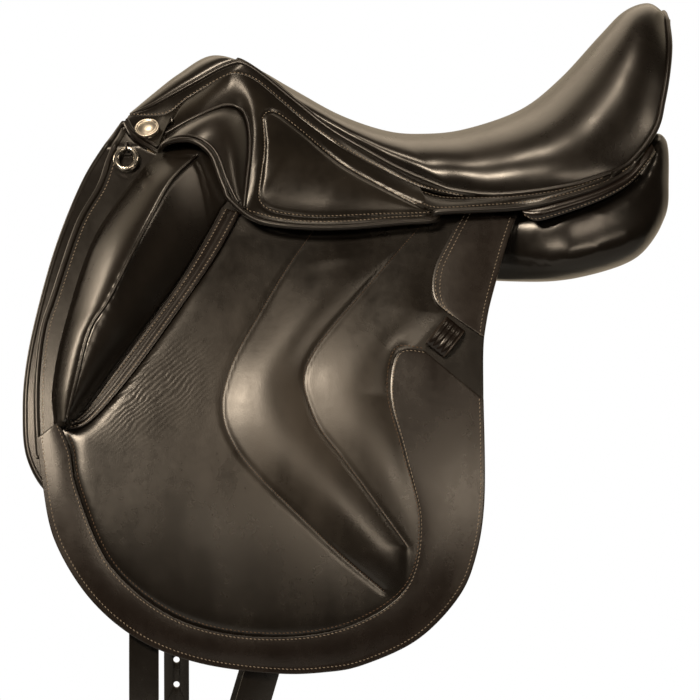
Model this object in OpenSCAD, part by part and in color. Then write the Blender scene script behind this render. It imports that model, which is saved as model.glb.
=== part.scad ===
// Dressage saddle with one long flap on each side.
// X runs to the rear, Y to the rider's right, Z up. The origin lies in the gullet, midway
// between the panels, on the plane that they bear on.

/* [Seat] */
// Length from a head nail to the middle of the cantle
seat_len = 445; // [425:5:465]
// Greatest width of the seat, from welt to welt
seat_w = 282; // [270:2:294]
// Height of the seat's lowest point above the bearing plane
seat_low = 132; // [130:1:138]
// Rise of the pommel's crest above the seat's lowest point
pommel_rise = 68; // [62:1:74]
// Rise of the cantle above the seat's lowest point
cantle_rise = 114; // [104:1:122]
// Thickness of the seat leather
cover_t = 2.5; // [1.8:0.1:3]
// Depth of the seat's filling, from its face down to the tree
foam_depth = 30; // [27:1:32]
// Diameter of the welt round the seat
welt_d = 4; // [3:0.2:4.6]

/* [Tree] */
// Thickness of the laminated tree
tree_t = 9; // [7:0.5:10]
// Thickness of the webbing stretched over the tree
webbing_t = 2; // [1:0.5:3]
// Width of the steel head plate along the saddle
head_plate_w = 40; // [32:1:46]
// Thickness of the steel head plate
head_plate_t = 4; // [3:0.5:5]

/* [Panels] */
// Clear width of the gullet between the panels
gullet_w = 66; // [60:1:70]
// Thickness of the padded sweat panel under the front of each flap
sweat_t = 13; // [9:1:15]
// Thickness of the leather facings, bands and linings
facing_t = 3; // [2:0.2:3.6]

/* [Flaps] */
// Length of a flap below the front end of its hinge line
flap_len = 432; // [404:4:456]
// Distance between the outer faces of the flaps at their lower edges
flap_spread = 464; // [440:4:484]
// Thickness of a flap
flap_t = 4; // [3:0.5:5]
// Thickness of the border and patches sewn on a flap
border_t = 3; // [2:0.2:4]
// Height of the thigh block's ridge above the flap
block_h = 42; // [34:1:46]
// Height of the keeper loop above the flap
keeper_h = 9; // [7.5:0.5:11]
// Width of the keeper loop
keeper_w = 19; // [14:1:20]

/* [Skirts] */
// Thickness of a skirt
skirt_t = 3; // [2:0.2:3.6]
// Least gap between a skirt and a lifted flap
skirt_gap = 4.5; // [3.5:0.5:6]
// Angle that a flap lifts under its skirt
flap_lift = 12; // [8:1:13]
// Extra stand-off of the pocket over the stirrup bar
pocket_stand = 16; // [14:1:20]
// Diameter of the piping along a skirt's edge
piping_d = 4.4; // [3.4:0.2:5]

/* [Girth straps] */
// Width of the front girth strap
front_strap_w = 24; // [22:1:26]
// Width of the rear girth strap
rear_strap_w = 28; // [24:1:30]
// Thickness of the girth straps
strap_t = 4; // [3:0.5:4.5]
// Reach of the girth straps below the flaps
strap_reach = 132; // [110:2:160]
// Diameter of the buckle holes
hole_d = 6; // [4:0.5:7]
// Spacing of the buckle holes
hole_pitch = 24; // [20:1:26]

/* [Fittings] */
// Diameter of a head nail
nail_d = 21; // [17:0.5:23]
// Height of a head nail's dome
nail_h = 4.5; // [3:0.5:6]
// Outer diameter of a breastplate ring
ring_d = 24; // [21:0.5:26]
// Thickness of the ring's wire
ring_wire = 4.6; // [3.8:0.2:5]
// Diameter of the stirrup bar
bar_d = 9; // [8:0.5:10]
// Length of the stirrup bar
bar_len = 62; // [56:1:66]
// Diameter of the pin of the bar's safety catch
catch_pin_d = 3; // [2.5:0.25:4]

/* [Clearances] */
// Gap between pieces that lie on each other
lay_gap = 0.4; // [0.3:0.1:0.6]
// Gap on each side of a girth strap under the flap
slide_gap = 2.5; // [2:0.25:3]
// Gap round the catch pin and the ring's staple
pin_gap = 0.3; // [0.2:0.05:0.5]

/* [Hidden] */
$fn = 40;

hide = [0.17, 0.13, 0.11];
hide_light = [0.26, 0.20, 0.16];
hide_trim = [0.20, 0.14, 0.11];
steel = [0.75, 0.74, 0.72];

// The outlines below are drawn on a saddle of these sizes and stretch with the named ones.
drawn_seat_len = 445;
drawn_seat_w = 282;
drawn_seat_low = 132;
drawn_pommel_rise = 68;
drawn_cantle_rise = 114;
drawn_flap_len = 432;
along = seat_len / drawn_seat_len;
across = seat_w / drawn_seat_w;
down = flap_len / drawn_flap_len;
lifted = seat_low - drawn_seat_low;
// X where the seat's dip divides the pommel's rise from the cantle's
dip_x = 60;

// Curves and grids

function mix(a, b, t) = a + (b - a) * t;
function clamp(t) = max(0, min(1, t));
function unit(v) = v / norm(v);
function last(p) = p[len(p) - 1];
function flipped(p) = [for (i = [len(p) - 1:-1:0]) p[i]];
function part_of(p, i, j) = [for (k = [i:j]) p[k]];

// Smooth curve through points, given as n + 1 points at equal steps of length
function bend_at(p, i, t) =
    let (a = p[max(i - 1, 0)], b = p[i], c = p[i + 1], d = p[min(i + 2, len(p) - 1)])
    b + ((c - a) * t + (2 * a - 5 * b + 4 * c - d) * t * t
        + (3 * b - a - 3 * c + d) * t * t * t) / 2;
function fine(p) = concat([for (i = [0:len(p) - 2], k = [0:5]) bend_at(p, i, k / 6)], [last(p)]);
function step_len(p, i) = i < len(p) - 1 ? norm(p[i + 1] - p[i]) : 0;
function sums(p) = [for (i = 0, s = 0; i < len(p); s = s + step_len(p, i), i = i + 1) s];
function along_at(p, s, d, i = 0) =
    i >= len(p) - 2 || s[i + 1] >= d
        ? mix(p[i], p[i + 1], (d - s[i]) / max(s[i + 1] - s[i], 0.001))
        : along_at(p, s, d, i + 1);
function curve(p, n) =
    let (f = fine(p), s = sums(f)) [for (k = [0:n]) along_at(f, s, last(s) * k / n)];

// Grid of points between two curves, in m steps
function loft(a, b, m) = [for (j = [0:m]) [for (i = [0:len(a) - 1]) mix(a[i], b[i], j / m)]];

// Grid moved by d along its own normals
function grid_normal(g, i, j) =
    let (r = len(g) - 1, c = len(g[0]) - 1,
        across_row = g[i][min(j + 1, c)] - g[i][max(j - 1, 0)],
        down_rows = g[min(i + 1, r)][j] - g[max(i - 1, 0)][j])
    unit(cross(across_row, down_rows));
function thicken(g, d) =
    [for (i = [0:len(g) - 1]) [for (j = [0:len(g[0]) - 1]) g[i][j] + d * grid_normal(g, i, j)]];

// Closed solid between two grids of the same size
module slab(top, under) {
    r = len(top);
    c = len(top[0]);
    i0 = floor(r / 2) - (r > 2 ? 0 : 1);
    j0 = floor(c / 2) - (c > 2 ? 0 : 1);
    way = cross(top[i0][j0 + 1] - top[i0][j0], top[i0 + 1][j0] - top[i0][j0])
        * (top[i0][j0] - under[i0][j0]);
    rim = concat([for (j = [0:c - 2]) j], [for (i = [0:r - 2]) i * c + c - 1],
        [for (j = [c - 1:-1:1]) (r - 1) * c + j], [for (i = [r - 1:-1:1]) i * c]);
    faces = concat(
        [for (i = [0:r - 2], j = [0:c - 2], k = [0:1])
            let (a = i * c + j) k == 0 ? [a, a + c, a + 1] : [a + 1, a + c, a + c + 1]],
        [for (i = [0:r - 2], j = [0:c - 2], k = [0:1])
            let (a = r * c + i * c + j) k == 0 ? [a, a + 1, a + c] : [a + 1, a + c + 1, a + c]],
        [for (n = [0:len(rim) - 1], k = [0:1])
            let (a = rim[n], b = rim[(n + 1) % len(rim)])
            k == 0 ? [a, b, a + r * c] : [b, b + r * c, a + r * c]]);
    polyhedron(concat([for (row = top) each row], [for (row = under) each row]),
        way > 0 ? faces : [for (f = faces) flipped(f)], 8);
}

// Solid swept through closed rings of points, with flat ends
module swept(rings) {
    n = len(rings[0]);
    m = len(rings);
    first = rings[0];
    way = cross(first[1] - first[0], first[2] - first[1]) * (rings[1][0] - first[0]);
    faces = concat([[for (k = [0:n - 1]) k]],
        [for (i = [0:m - 2], k = [0:n - 1], h = [0:1])
            let (a = i * n + k, b = i * n + (k + 1) % n)
            h == 0 ? [a, a + n, b] : [b, a + n, b + n]],
        [[for (k = [n - 1:-1:0]) (m - 1) * n + k]]);
    polyhedron([for (q = rings) each q], way > 0 ? faces : [for (f = faces) flipped(f)], 8);
}

function heading(p, i) = unit(p[min(i + 1, len(p) - 1)] - p[max(i - 1, 0)]);
// Round tube along a path, with its first side turned away from the lean
module tube(path, d, lean, sides = 6)
    swept([for (i = [0:len(path) - 1])
        let (t = heading(path, i), a = unit(cross(t, lean)), b = cross(a, t))
        [for (k = [0:sides - 1])
            let (turn = 360 * k / sides)
            path[i] + d / 2 * (a * cos(turn) + b * sin(turn))]]);

// Flat strap along a path, with its face normals and widths given point by point
module strap(path, normals, widths, t)
    swept([for (i = [0:len(path) - 1])
        let (a = unit(cross(heading(path, i), normals[i])) * widths[i] / 2,
            b = unit(normals[i]) * t / 2)
        [path[i] - a - b, path[i] + a - b, path[i] + a + b, path[i] - a + b]]);

module to_left() { mirror([0, 1, 0]) children(); }

// Seat form

pommel_share = pommel_rise / drawn_pommel_rise;
cantle_share = cantle_rise / drawn_cantle_rise;
function seat_z(x, z) =
    seat_low + (z - drawn_seat_low)
        * (z < drawn_seat_low ? 1 : x < dip_x ? pommel_share : cantle_share);
function seat_point(p) = [p.x * along, p.y * across, seat_z(p.x, p.z)];
function seat_curve(p, n) = curve([for (q = p) seat_point(q)], n);

// Middle line of the seat's face, from the nose over the pommel to the cantle's rim
centre_drawn = [[-192, 0, 150], [-172, 0, 167], [-150, 0, 184], [-121, 0, 200], [-88, 0, 192],
    [-50, 0, 171], [-10, 0, 149], [30, 0, 135], [62, 0, 132], [100, 0, 136], [149, 0, 153],
    [184, 0, 180], [219, 0, 218], [240, 0, 239], [262, 0, 246], [276, 0, 238]];
// Edge of the seat's face on the right, where the welt is sewn in
edge_drawn = [[-190, 36, 148], [-168, 44, 158], [-136, 50, 175], [-105, 53, 191], [-87, 56, 190],
    [-47, 65, 159], [-18, 74, 136], [14, 86, 117], [41, 99, 102], [71, 113, 89], [90, 120, 83],
    [125, 132, 80], [175, 141, 86], [208, 140, 95], [232, 134, 106], [255, 119, 133],
    [264, 104, 158], [271, 86, 184], [276, 62, 208], [276, 30, 230]];
seat_steps = 26;
seat_mid = seat_curve(centre_drawn, seat_steps);
seat_edge = seat_curve(edge_drawn, seat_steps);
// Fullness of the seat's rolled sides: 2 is an ellipse, more is squarer
seat_full = 2.3;
function seat_at(i, v) =
    let (s = pow(sin(90 * abs(v)), 2 / seat_full), c = pow(cos(90 * abs(v)), 2 / seat_full))
    [mix(seat_edge[i].x, seat_mid[i].x, c), sign(v) * seat_edge[i].y * s,
        mix(seat_edge[i].z, seat_mid[i].z, c)];
// Grid of the seat between two stations, up to a share of its half width, lowered by drop
function seat_grid(i0, i1, reach, steps, drop = 0) =
    [for (k = [-steps:steps]) [for (i = [i0:i1]) under_seat(i, reach * k / steps, drop)]];
// Point below the seat's face, which draws in as the cantle rises
function under_seat(i, v, drop) =
    let (p = seat_at(i, v), in = drop > 0 ? clamp((i / seat_steps - 0.65) / 0.35) : 0)
    [p.x - 14 * in, p.y * (1 - 0.08 * in), p.z - drop];
// Gap above the tree and above its webbing
tree_gap = 1.8;

module seat_cover() {
    face = seat_grid(0, seat_steps, 1, 6);
    color(hide_light) slab(face, thicken(face, -cover_t));
}

module seat_foam() {
    i0 = 3;
    i1 = seat_steps - 4;
    face = part_of(thicken(seat_grid(0, seat_steps, 1, 6), -cover_t - 2 * lay_gap), 2, 10);
    color("tan") slab([for (r = face) part_of(r, i0, i1)],
        seat_grid(i0, i1, 4 / 6, 4, foam_depth - webbing_t - 2 * tree_gap));
}

// Loop round the tree, a share of its way from the middle slot to its outer edge
tree_reach = 0.68;
tree_first = 2;
tree_last = seat_steps - 4;
function squared(t, p) = sign(t) * pow(abs(t), p);
function tree_loop(t, drop, n = 48) =
    [for (k = [0:n - 1])
        let (a = 360 * k / n, c = squared(cos(a), 0.6), s = squared(sin(a), 0.6),
            mid = (tree_first + tree_last) / 2,
            i = mid + mix(4.5, tree_last - mid, t) * c, v = mix(0.2, tree_reach, t) * s,
            f = floor(min(i, tree_last - 0.001)))
        mix(under_seat(f, v, drop), under_seat(f + 1, v, drop), i - f)];

module tree() {
    rows = [for (t = [0:0.25:1]) tree_loop(t, foam_depth)];
    lows = [for (t = [0:0.25:1]) tree_loop(t, foam_depth + tree_t)];
    n = len(rows[0]);
    loops = concat(rows, flipped(lows));
    m = len(loops);
    faces = [for (i = [0:m - 1], k = [0:n - 1], h = [0:1])
        let (k1 = (k + 1) % n, i1 = (i + 1) % m,
            a = i * n + k, b = i * n + k1, c = i1 * n + k, d = i1 * n + k1)
        h == 0 ? [a, b, c] : [b, d, c]];
    color("burlywood") polyhedron([for (q = loops) each q], faces, 8);
}

module seat_webbing() {
    i0 = tree_first + 4;
    i1 = tree_last - 4;
    color("wheat") slab(seat_grid(i0, i1, 0.4, 3, foam_depth - tree_gap - webbing_t),
        seat_grid(i0, i1, 0.4, 3, foam_depth - tree_gap));
}

// Welt round the seat, just outside the edge of its face
function welt_path(n) =
    let (e = seat_curve(edge_drawn, n), out = welt_d / 2 + 5 * lay_gap)
    [for (p = e)
        let (rear = clamp((p.x / along - 215) / 40))
        p + unit([mix(0.2, 1, rear), 0.7, -0.35]) * out];

module seat_welt() {
    half = welt_path(44);
    top = (half[44] + [half[44].x, -half[44].y, half[44].z]) / 2;
    path = concat(half, [top], [for (p = flipped(half)) [p.x, -p.y, p.z]]);
    color(hide) tube(path, welt_d, [0.1, 0.05, 1]);
}

module cantle_back() {
    edge = part_of(seat_curve(edge_drawn, 40), 31, 40);
    steps = 6;
    bulge = 12;
    rows = [for (p = edge) [for (k = [-steps:steps])
        let (v = k / steps, mid = 1 - v * v)
        [p.x + welt_d / 2 - 2 * lay_gap + bulge * mid, p.y * v * 0.97, p.z - 3 - 0.02 * p.y * mid]]];
    color(hide) slab(rows, [for (r = rows) [for (p = r) p - [facing_t, 0, 0]]]);
}

// Side form: the outer face of the flaps

// Hinge line of a flap, from its front end to its rear end, as X and Z
hinge_drawn = [[-196, 124], [141, 66]];
function hinge_z(x) =
    let (a = hinge_drawn[0], b = hinge_drawn[1]) mix(a.y, b.y, (x - a.x) / (b.x - a.x));
side_top = 130 + lifted;
side_drop = 460 * down;
function side_y(x, z) =
    let (top = across * (88 + 0.08 * (min(x / along, 160) + 190)))
    mix(top, flap_spread / 2, sin(90 * clamp((side_top - z) / side_drop)));
function side_z(x, z) = hinge_z(x) + lifted - (hinge_z(x) - z) * down;
// Point on the side at a drawn X and Z, moved outward by off
function side_point(p, off = 0) =
    let (x = p.x * along, z = side_z(p.x, p.y)) [x, side_y(x, z) + off, z];
function side_curve(p, n, off = 0) = [for (q = curve(p, n)) side_point(q, off)];
function side_normal(p) =
    unit([side_y(p.x - 1, p.z) - side_y(p.x + 1, p.z), 2,
        side_y(p.x, p.z - 1) - side_y(p.x, p.z + 1)]);
function side_loft(a, b, n, m, off, sag = 0) =
    let (g = loft(curve(a, n), curve(b, n), m))
    [for (j = [0:m]) [for (i = [0:n])
        side_point(g[j][i] - [0, sag * sin(180 * pow(j / m, 1.4)) * pow(1 - i / n, 4)], off)]];
// Puts things on the side, with their Z outward and their Y down the slope
module on_side(p, off = 0) {
    q = side_point(p);
    n = side_normal(q);
    turn = -atan(n.x / n.y);
    tip = -90 + atan(n.z / norm([n.x, n.y]));
    translate(q) rotate([0, 0, turn]) rotate([tip, 0, 0]) translate([0, 0, off]) children();
}

flap_front = [[-196, 124], [-203, 110], [-211, 85], [-228, 53], [-246, -6], [-254, -35],
    [-257, -76], [-255, -119], [-250, -155], [-239, -201], [-210, -247], [-170, -280],
    [-120, -299], [-60, -307]];
flap_rear = [[141, 66], [128, 33], [116, -8], [110, -40], [109, -88], [109, -168], [101, -216],
    [86, -248], [54, -280], [11, -300], [-20, -306]];

// Dip of a flap's top edge below its hinge line, under the skirt
flap_sag = 18;

module flap_right()
    color(hide) slab(side_loft(flap_front, flap_rear, 22, 12, 0, flap_sag),
        side_loft(flap_front, flap_rear, 22, 12, -flap_t, flap_sag));

// Border sewn round the lower edge, widening into the rear patch
border_seam = [[-238, -106], [-228, -129], [-221, -161], [-193, -221], [-141, -262], [-77, -277],
    [-8, -271], [44, -240], [57, -188], [45, -133], [33, -85], [39, -50], [61, -49]];
border_edge = concat(part_of(flap_front, 7, 13), part_of(flipped(flap_rear), 0, 6));

module flap_border_right()
    color(hide_trim) slab(side_loft(border_seam, border_edge, 40, 3, lay_gap + border_t),
        side_loft(border_seam, border_edge, 40, 3, lay_gap));

patch_front = [[95, 67], [81, 41], [71, 21], [68, 4], [71, -9], [79, -17]];
patch_rear = [[137, 59], [128, 33], [116, -8], [112, -26], [110, -38]];

module flap_patch_right()
    color(hide_trim) slab(side_loft(patch_front, patch_rear, 10, 4, lay_gap + border_t),
        side_loft(patch_front, patch_rear, 10, 4, lay_gap));

// Keeper loop, arched between the two patches
module keeper_right() {
    ends = [[87, -27], [69, -49]];
    leather = 2.5;
    path = [for (k = [0:8]) side_point(mix(ends[0], ends[1], k / 8),
        lay_gap + leather / 2 + (keeper_h - leather) * pow(sin(22.5 * k), 0.5))];
    normals = [for (k = [0:8])
        let (t = heading(path, k), n = side_normal(path[k])) n - t * (n * t)];
    color(hide_trim) strap(path, normals, [for (k = [0:8]) keeper_w], leather);
}

// Thigh block: a padded ridge between its front and rear seams
block_front = [[-168, 106], [-190, 78], [-215, 35], [-235, -35], [-242, -80], [-240, -104]];
block_ridge = [[-128, 112], [-148, 91], [-164, 60], [-195, -4], [-211, -30], [-221, -69],
    [-229, -102]];
block_rear = [[-108, 68], [-124, 38], [-147, 0], [-190, -59], [-217, -97], [-227, -106]];
block_edge = 4;
// Height of the ridge at a share of its length: lower at both ends
block_peak = 0.45;
function ridge_share(s) =
    s < block_peak ? mix(0.36, 1, sin(90 * s / block_peak))
        : mix(1, 0.55, pow((s - block_peak) / (1 - block_peak), 2));
function block_rise(s) = mix(block_edge, block_h, ridge_share(s));

module thigh_block_right() {
    n = 16;
    a = curve(block_front, n);
    b = curve(block_ridge, n);
    c = curve(block_rear, n);
    face = [for (j = [0:10]) [for (i = [0:n])
        let (front = j < 5, t = front ? j / 4.5 : (10 - j) / 5.5, u = clamp(t),
            q = front ? mix(a[i], b[i], u) : mix(c[i], b[i], u),
            h = mix(block_edge, block_rise(i / n), front ? sin(90 * u) : pow(u, 0.8)))
        side_point(q, lay_gap + h)]];
    base = [for (j = [0:10]) [for (i = [0:n])
        let (front = j < 5, u = clamp(front ? j / 4.5 : (10 - j) / 5.5))
        side_point(front ? mix(a[i], b[i], u) : mix(c[i], b[i], u), lay_gap)]];
    color(hide_light) slab(face, base);
}

flange_edge = [[-92, 64], [-111, 29], [-135, -7], [-178, -67], [-213, -107], [-234, -113]];
module block_flange_right() {
    edge = curve(flange_edge, 16);
    seam = [for (i = [0:16]) mix(curve(block_rear, 16)[i], edge[i], 0.1)];
    grid = loft(seam, edge, 1);
    color(hide_trim) slab([for (r = grid) [for (q = r) side_point(q, lay_gap + border_t)]],
        [for (r = grid) [for (q = r) side_point(q, lay_gap)]]);
}

// Sweat panel, inside the girth straps
strap_out = flap_t + slide_gap;
web_t = 3;
sweat_out = strap_out + strap_t + web_t + 3 * lay_gap;
sweat_front = [[-204, 125], [-224, 91], [-243, 41], [-256, -9], [-265, -58], [-267, -98],
    [-262, -138], [-240, -168], [-195, -186]];
sweat_rear = [[-50, 38], [-34, 0], [-28, -40], [-34, -80], [-55, -130], [-110, -180]];
module sweat_panel_right() {
    n = 16;
    m = 8;
    grid = loft(curve(sweat_front, n), curve(sweat_rear, n), m);
    color(hide) slab([for (r = grid) [for (q = r) side_point(q, -sweat_out)]],
        [for (j = [0:m]) [for (i = [0:n])
            let (full = sin(180 * i / n) * sin(180 * j / m))
            side_point(grid[j][i], -sweat_out - sweat_t * mix(0.4, 1, full))]]);
}

// Skirts, between the seat's edge and the flaps

// Row of stitches that runs below the welt, where a skirt bends up
bend_drawn = [[-186, 44, 145], [-160, 55, 147], [-139, 58, 162], [-109, 62, 179], [-98, 63, 182],
    [-82, 65, 177], [-61, 70, 160], [-40, 75, 142], [-18, 82, 126], [-1, 90, 115], [29, 104, 99],
    [58, 119, 86], [91, 131, 78]];
// Lower edge of a skirt, clear of the flap's face when the flap is lifted
function skirt_low(p, more = 0) =
    let (x = p.x * along, z = p.y + lifted, lift = (hinge_z(p.x) - p.y) * tan(flap_lift))
    [x, side_y(x, z) + skirt_t + skirt_gap + max(lift, 0) + more, z];
skirt_edge_drawn = [[-88, 66], [-79, 61], [-50, 55], [-8, 54], [41, 58], [68, 60]];
pocket_seam_drawn = [[-148, 84, 132], [-127, 82, 146], [-106, 80, 154], [-93, 82, 151],
    [-86, 92, 138], [-84, 108, 116], [-86, 126, 90]];
pocket_edge_drawn = [[-151, 124], [-138, 126], [-125, 123], [-113, 112], [-105, 92], [-97, 75],
    [-91, 68]];
pocket_seam = concat([for (p = pocket_seam_drawn) seat_point(p)], [skirt_low([-88, 66], 1)]);
pocket_share = [0.5, 1, 1.2, 1.1, 0.7, 0.3, 0.1];
pocket_edge = [for (k = [0:6]) skirt_low(pocket_edge_drawn[k], pocket_stand * pocket_share[k])];

// Gap between the skirt and the pieces sewn next to it
seam_gap = 0.6;
function shift_in(a, b, d) = [for (i = [0:len(a) - 1]) a[i] + unit(b[i] - a[i]) * d];

// Outward fullness of a skirt between its bend and its lower edge
skirt_full = 8;

module skirt_right() {
    n = 22;
    top = curve(part_of([for (p = bend_drawn) seat_point(p)], 2, 11), n);
    low = curve(concat(pocket_seam, part_of([for (p = skirt_edge_drawn) skirt_low(p)], 1, 5)), n);
    flat = loft(shift_in(top, low, seam_gap), shift_in(low, top, seam_gap), 4);
    grid = [for (j = [0:4]) [for (p = flat[j]) p + [0, 0.7, 0.7] * skirt_full * sin(45 * j)]];
    color(hide) slab(grid, thicken(grid, -skirt_t));
}

module bar_pocket_right() {
    n = 14;
    a = curve(pocket_seam, n);
    b = curve(pocket_edge, n);
    grid = [for (j = [0:4]) [for (i = [0:n])
        mix(a[i], b[i], mix(0.04, 1, j / 4)) + [0, 5, 3] * sin(180 * j / 4) * sin(180 * i / n)]];
    color(hide_light) slab(grid, thicken(grid, -skirt_t));
}

module skirt_piping_right() {
    off = piping_d / 2 + 2 * lay_gap;
    seam = curve(pocket_seam, 12);
    edge = curve(pocket_edge, 12);
    low = curve([for (p = part_of(skirt_edge_drawn, 1, 5)) skirt_low(p)], 12);
    path = concat([for (i = [0:11]) edge[i] + unit(edge[i] - seam[i]) * off],
        [for (p = low) p + unit([0, 0.5, -0.8]) * off]);
    color(hide) tube(curve(path, 34), piping_d, [0.1, 1, 0.3]);
}

module skirt_band_right() {
    n = 34;
    off = welt_d / 2 + 3 * lay_gap;
    top = [for (p = part_of(welt_path(60), 1, 32)) p + [0, 0.75, -0.65] * off];
    a = curve(top, n);
    b = seat_curve(bend_drawn, n);
    grid = loft(a, b, 1);
    color(hide) slab(grid, thicken(grid, -skirt_t));
}

// Front corner of the skirt, held by the head nail
front_edge_drawn = [[-194, 56, 142], [-187, 66, 131], [-178, 76, 125], [-168, 85, 122],
    [-160, 94, 116], [-155, 94, 121], [-150, 87, 129]];
module skirt_front_right() {
    n = 12;
    a = curve([for (p = part_of(bend_drawn, 0, 2)) seat_point(p)], n);
    b = seat_curve(front_edge_drawn, n);
    grid = loft(shift_in(a, b, seam_gap), b, 3);
    color(hide) slab(grid, thicken(grid, -skirt_t));
}

// Band behind the skirt, from the seat's edge out to its piping
band_edge_drawn = [[74, 151, 66], [113, 154, 68], [142, 154, 70], [164, 155, 74], [205, 150, 86],
    [228, 142, 97], [236, 137, 104]];
module rear_band_right() {
    n = 18;
    off = welt_d / 2 + 3 * lay_gap;
    a = curve([for (p = part_of(welt_path(60), 32, 45)) p + [0.2, 0.75, -0.65] * off], n);
    b = seat_curve(band_edge_drawn, n);
    grid = loft(a, b, 2);
    color(hide) slab(grid, thicken(grid, -facing_t));
}

// Facing strip along the top of the panel's rear end
strip_top_drawn = [[144, 156, 66], [168, 157, 70], [205, 152, 82], [231, 144, 95],
    [246, 134, 112], [258, 122, 128]];
strip_low_drawn = [[146, 156, 60], [168, 158, 58], [205, 155, 70], [231, 148, 84],
    [250, 138, 102], [262, 125, 120]];
module panel_facing_right() {
    grid = loft(seat_curve(strip_top_drawn, 14), seat_curve(strip_low_drawn, 14), 1);
    color(hide_trim) slab(grid, thicken(grid, -facing_t));
}

// Panels: X, middle Y and Z, half width, half height and lean of each section
panel_front = -184;
panel_sections = [[panel_front, 44, 91, 38, 8, 62], [-165, 46, 87, 41, 9, 62], [-125, 50, 77, 43, 11, 57],
    [-60, 66, 60, 42, 23, 36], [0, 74, 48, 41, 31, 20], [70, 83, 43, 49, 31, 8],
    [135, 88, 41, 53, 34, 0], [185, 94, 45, 59, 37, -4], [235, 91, 62, 54, 42, -6],
    [256, 89, 78, 42, 39, -6], [266, 88, 88, 24, 26, 0]];
drawn_gullet_w = 66;
panel_full = 2.6;
module panel_right() {
    part = (gullet_w - drawn_gullet_w) / 4;
    list = [for (s = panel_sections)
        [s[0] * along, s[1] * across + part, s[2], s[3] * across - part, s[4], s[5]]];
    color(hide) swept([for (s = curve(list, 22)) [for (k = [0:17])
        let (a = 20 * k, y = s[3] * squared(cos(a), 2 / panel_full),
            z = s[4] * squared(sin(a), 2 / panel_full))
        [s[0], s[1] + y * cos(s[5]) + z * sin(s[5]), s[2] - y * sin(s[5]) + z * cos(s[5])]]]);
}

module gullet_lining() {
    i0 = 5;
    i1 = seat_steps - 5;
    depth = foam_depth + tree_t + 5 * lay_gap;
    half = gullet_w / 2 - 2;
    rows = [for (k = [-3:3]) [for (i = [i0:i1])
        seat_mid[i] + [0, half * k / 3, -depth - pow(abs(k) / 3, 2) * 10]]];
    color(hide) slab(rows, [for (r = rows) [for (p = r) p - [0, 0, facing_t]]]);
}

// Arched facing of the head, between an outer and an inner line given as Y and Z
facing_outer = [[0, 145], [26, 143], [42, 137], [56, 128], [66, 116]];
facing_inner = [[0, 126], [20, 122], [34, 112], [42, 100], [47, 88]];
function across_arch(p, x, n) = curve([for (q = p) [x * along, q.x * across, q.y + lifted]], n);
module head_facing() {
    x = panel_front - lay_gap;
    outer = across_arch(facing_outer, x, 8);
    inner = across_arch(facing_inner, x, 8);
    a = concat([for (p = flipped(outer)) [p.x, -p.y, p.z]], part_of(outer, 1, 8));
    b = concat([for (p = flipped(inner)) [p.x, -p.y, p.z]], part_of(inner, 1, 8));
    grid = loft(a, b, 2);
    color(hide) slab(grid, [for (r = grid) [for (p = r) p - [facing_t, 0, 0]]]);
}

// Head plate: a steel arch that holds the points of the tree
arch_drawn = [[0, 135], [24, 132], [42, 125], [56, 107], [66, 86], [72, 66]];
plate_x = -145;
function arch_half(n) = across_arch(arch_drawn, plate_x, n);
module head_plate() {
    h = arch_half(10);
    path = concat([for (p = flipped(h)) [p.x, -p.y, p.z]], part_of(h, 1, 10));
    m = len(path) - 1;
    normals = [for (i = [0:m]) cross([1, 0, 0], heading(path, i))];
    color(steel) strap(path, normals, [for (i = [0:m]) head_plate_w], head_plate_t);
}

// Girth webs and straps

front_strap_drawn = [[-167, 58], [-167, -290]];
rear_strap_drawn = [[30, 34], [-71, -306]];
strap_steps = 18;
// Point of a strap's middle line at a drawn Z
function strap_at(ends, z) =
    let (slope = (ends[1].x - ends[0].x) / (ends[1].y - ends[0].y))
    [ends[0].x + (z - ends[0].y) * slope, z];
flap_low = -308;
function strap_line(ends, top, n) =
    let (low = flap_low - strap_reach / down)
    [for (k = [0:n]) strap_at(ends, mix(top, low, k / n))];
module girth_strap(ends, w, holes) {
    mid = strap_out + strap_t / 2;
    path = [for (q = strap_line(ends, ends[0].y, strap_steps)) side_point(q, -mid)];
    n = [for (p = path) side_normal(p)];
    widths = [for (k = [0:strap_steps]) k == strap_steps ? w * 0.55 : w];
    tip = path[strap_steps];
    up = unit(path[strap_steps - 1] - tip);
    difference() {
        strap(path, n, widths, strap_t);
        for (k = [0:holes - 1])
            translate(tip + up * (hole_pitch + k * hole_pitch)) rotate([90, 0, 0])
                cylinder(h = 4 * strap_t, d = hole_d, center = true);
    }
}
module billet_front_right() { color(hide) girth_strap(front_strap_drawn, front_strap_w, 4); }
module billet_rear_right() { color(hide) girth_strap(rear_strap_drawn, rear_strap_w, 4); }

// How much narrower a web is than its strap
web_edge = 9;
// Web that carries a girth strap, from the strap's head up and over to the tree
module girth_web(ends, w, way_up, seat) {
    mid = strap_out + strap_t + 2 * lay_gap + web_t / 2;
    low = [for (z = [ends[0].y - 12, ends[0].y, way_up]) side_point(strap_at(ends, z), -mid)];
    path = curve(concat(low, [seat]), 9);
    n = [for (i = [0:9])
        let (t = heading(path, i), a = side_normal(path[i])) a - t * (t * a)];
    color("wheat") strap(path, n, [for (i = [0:9]) w - web_edge], web_t);
}
module girth_web_front_right() {
    h = arch_half(10)[4];
    girth_web(front_strap_drawn, front_strap_w, 112, [h.x, h.y + head_plate_t / 2 + web_t, h.z + 2]);
}
module girth_web_rear_right() {
    p = seat_at(12, tree_reach);
    girth_web(rear_strap_drawn, rear_strap_w, 74,
        [rear_strap_drawn[0].x * along + 10, p.y + web_t + 0.8, p.z - foam_depth - tree_t / 2]);
}

// Metal fittings

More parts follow.
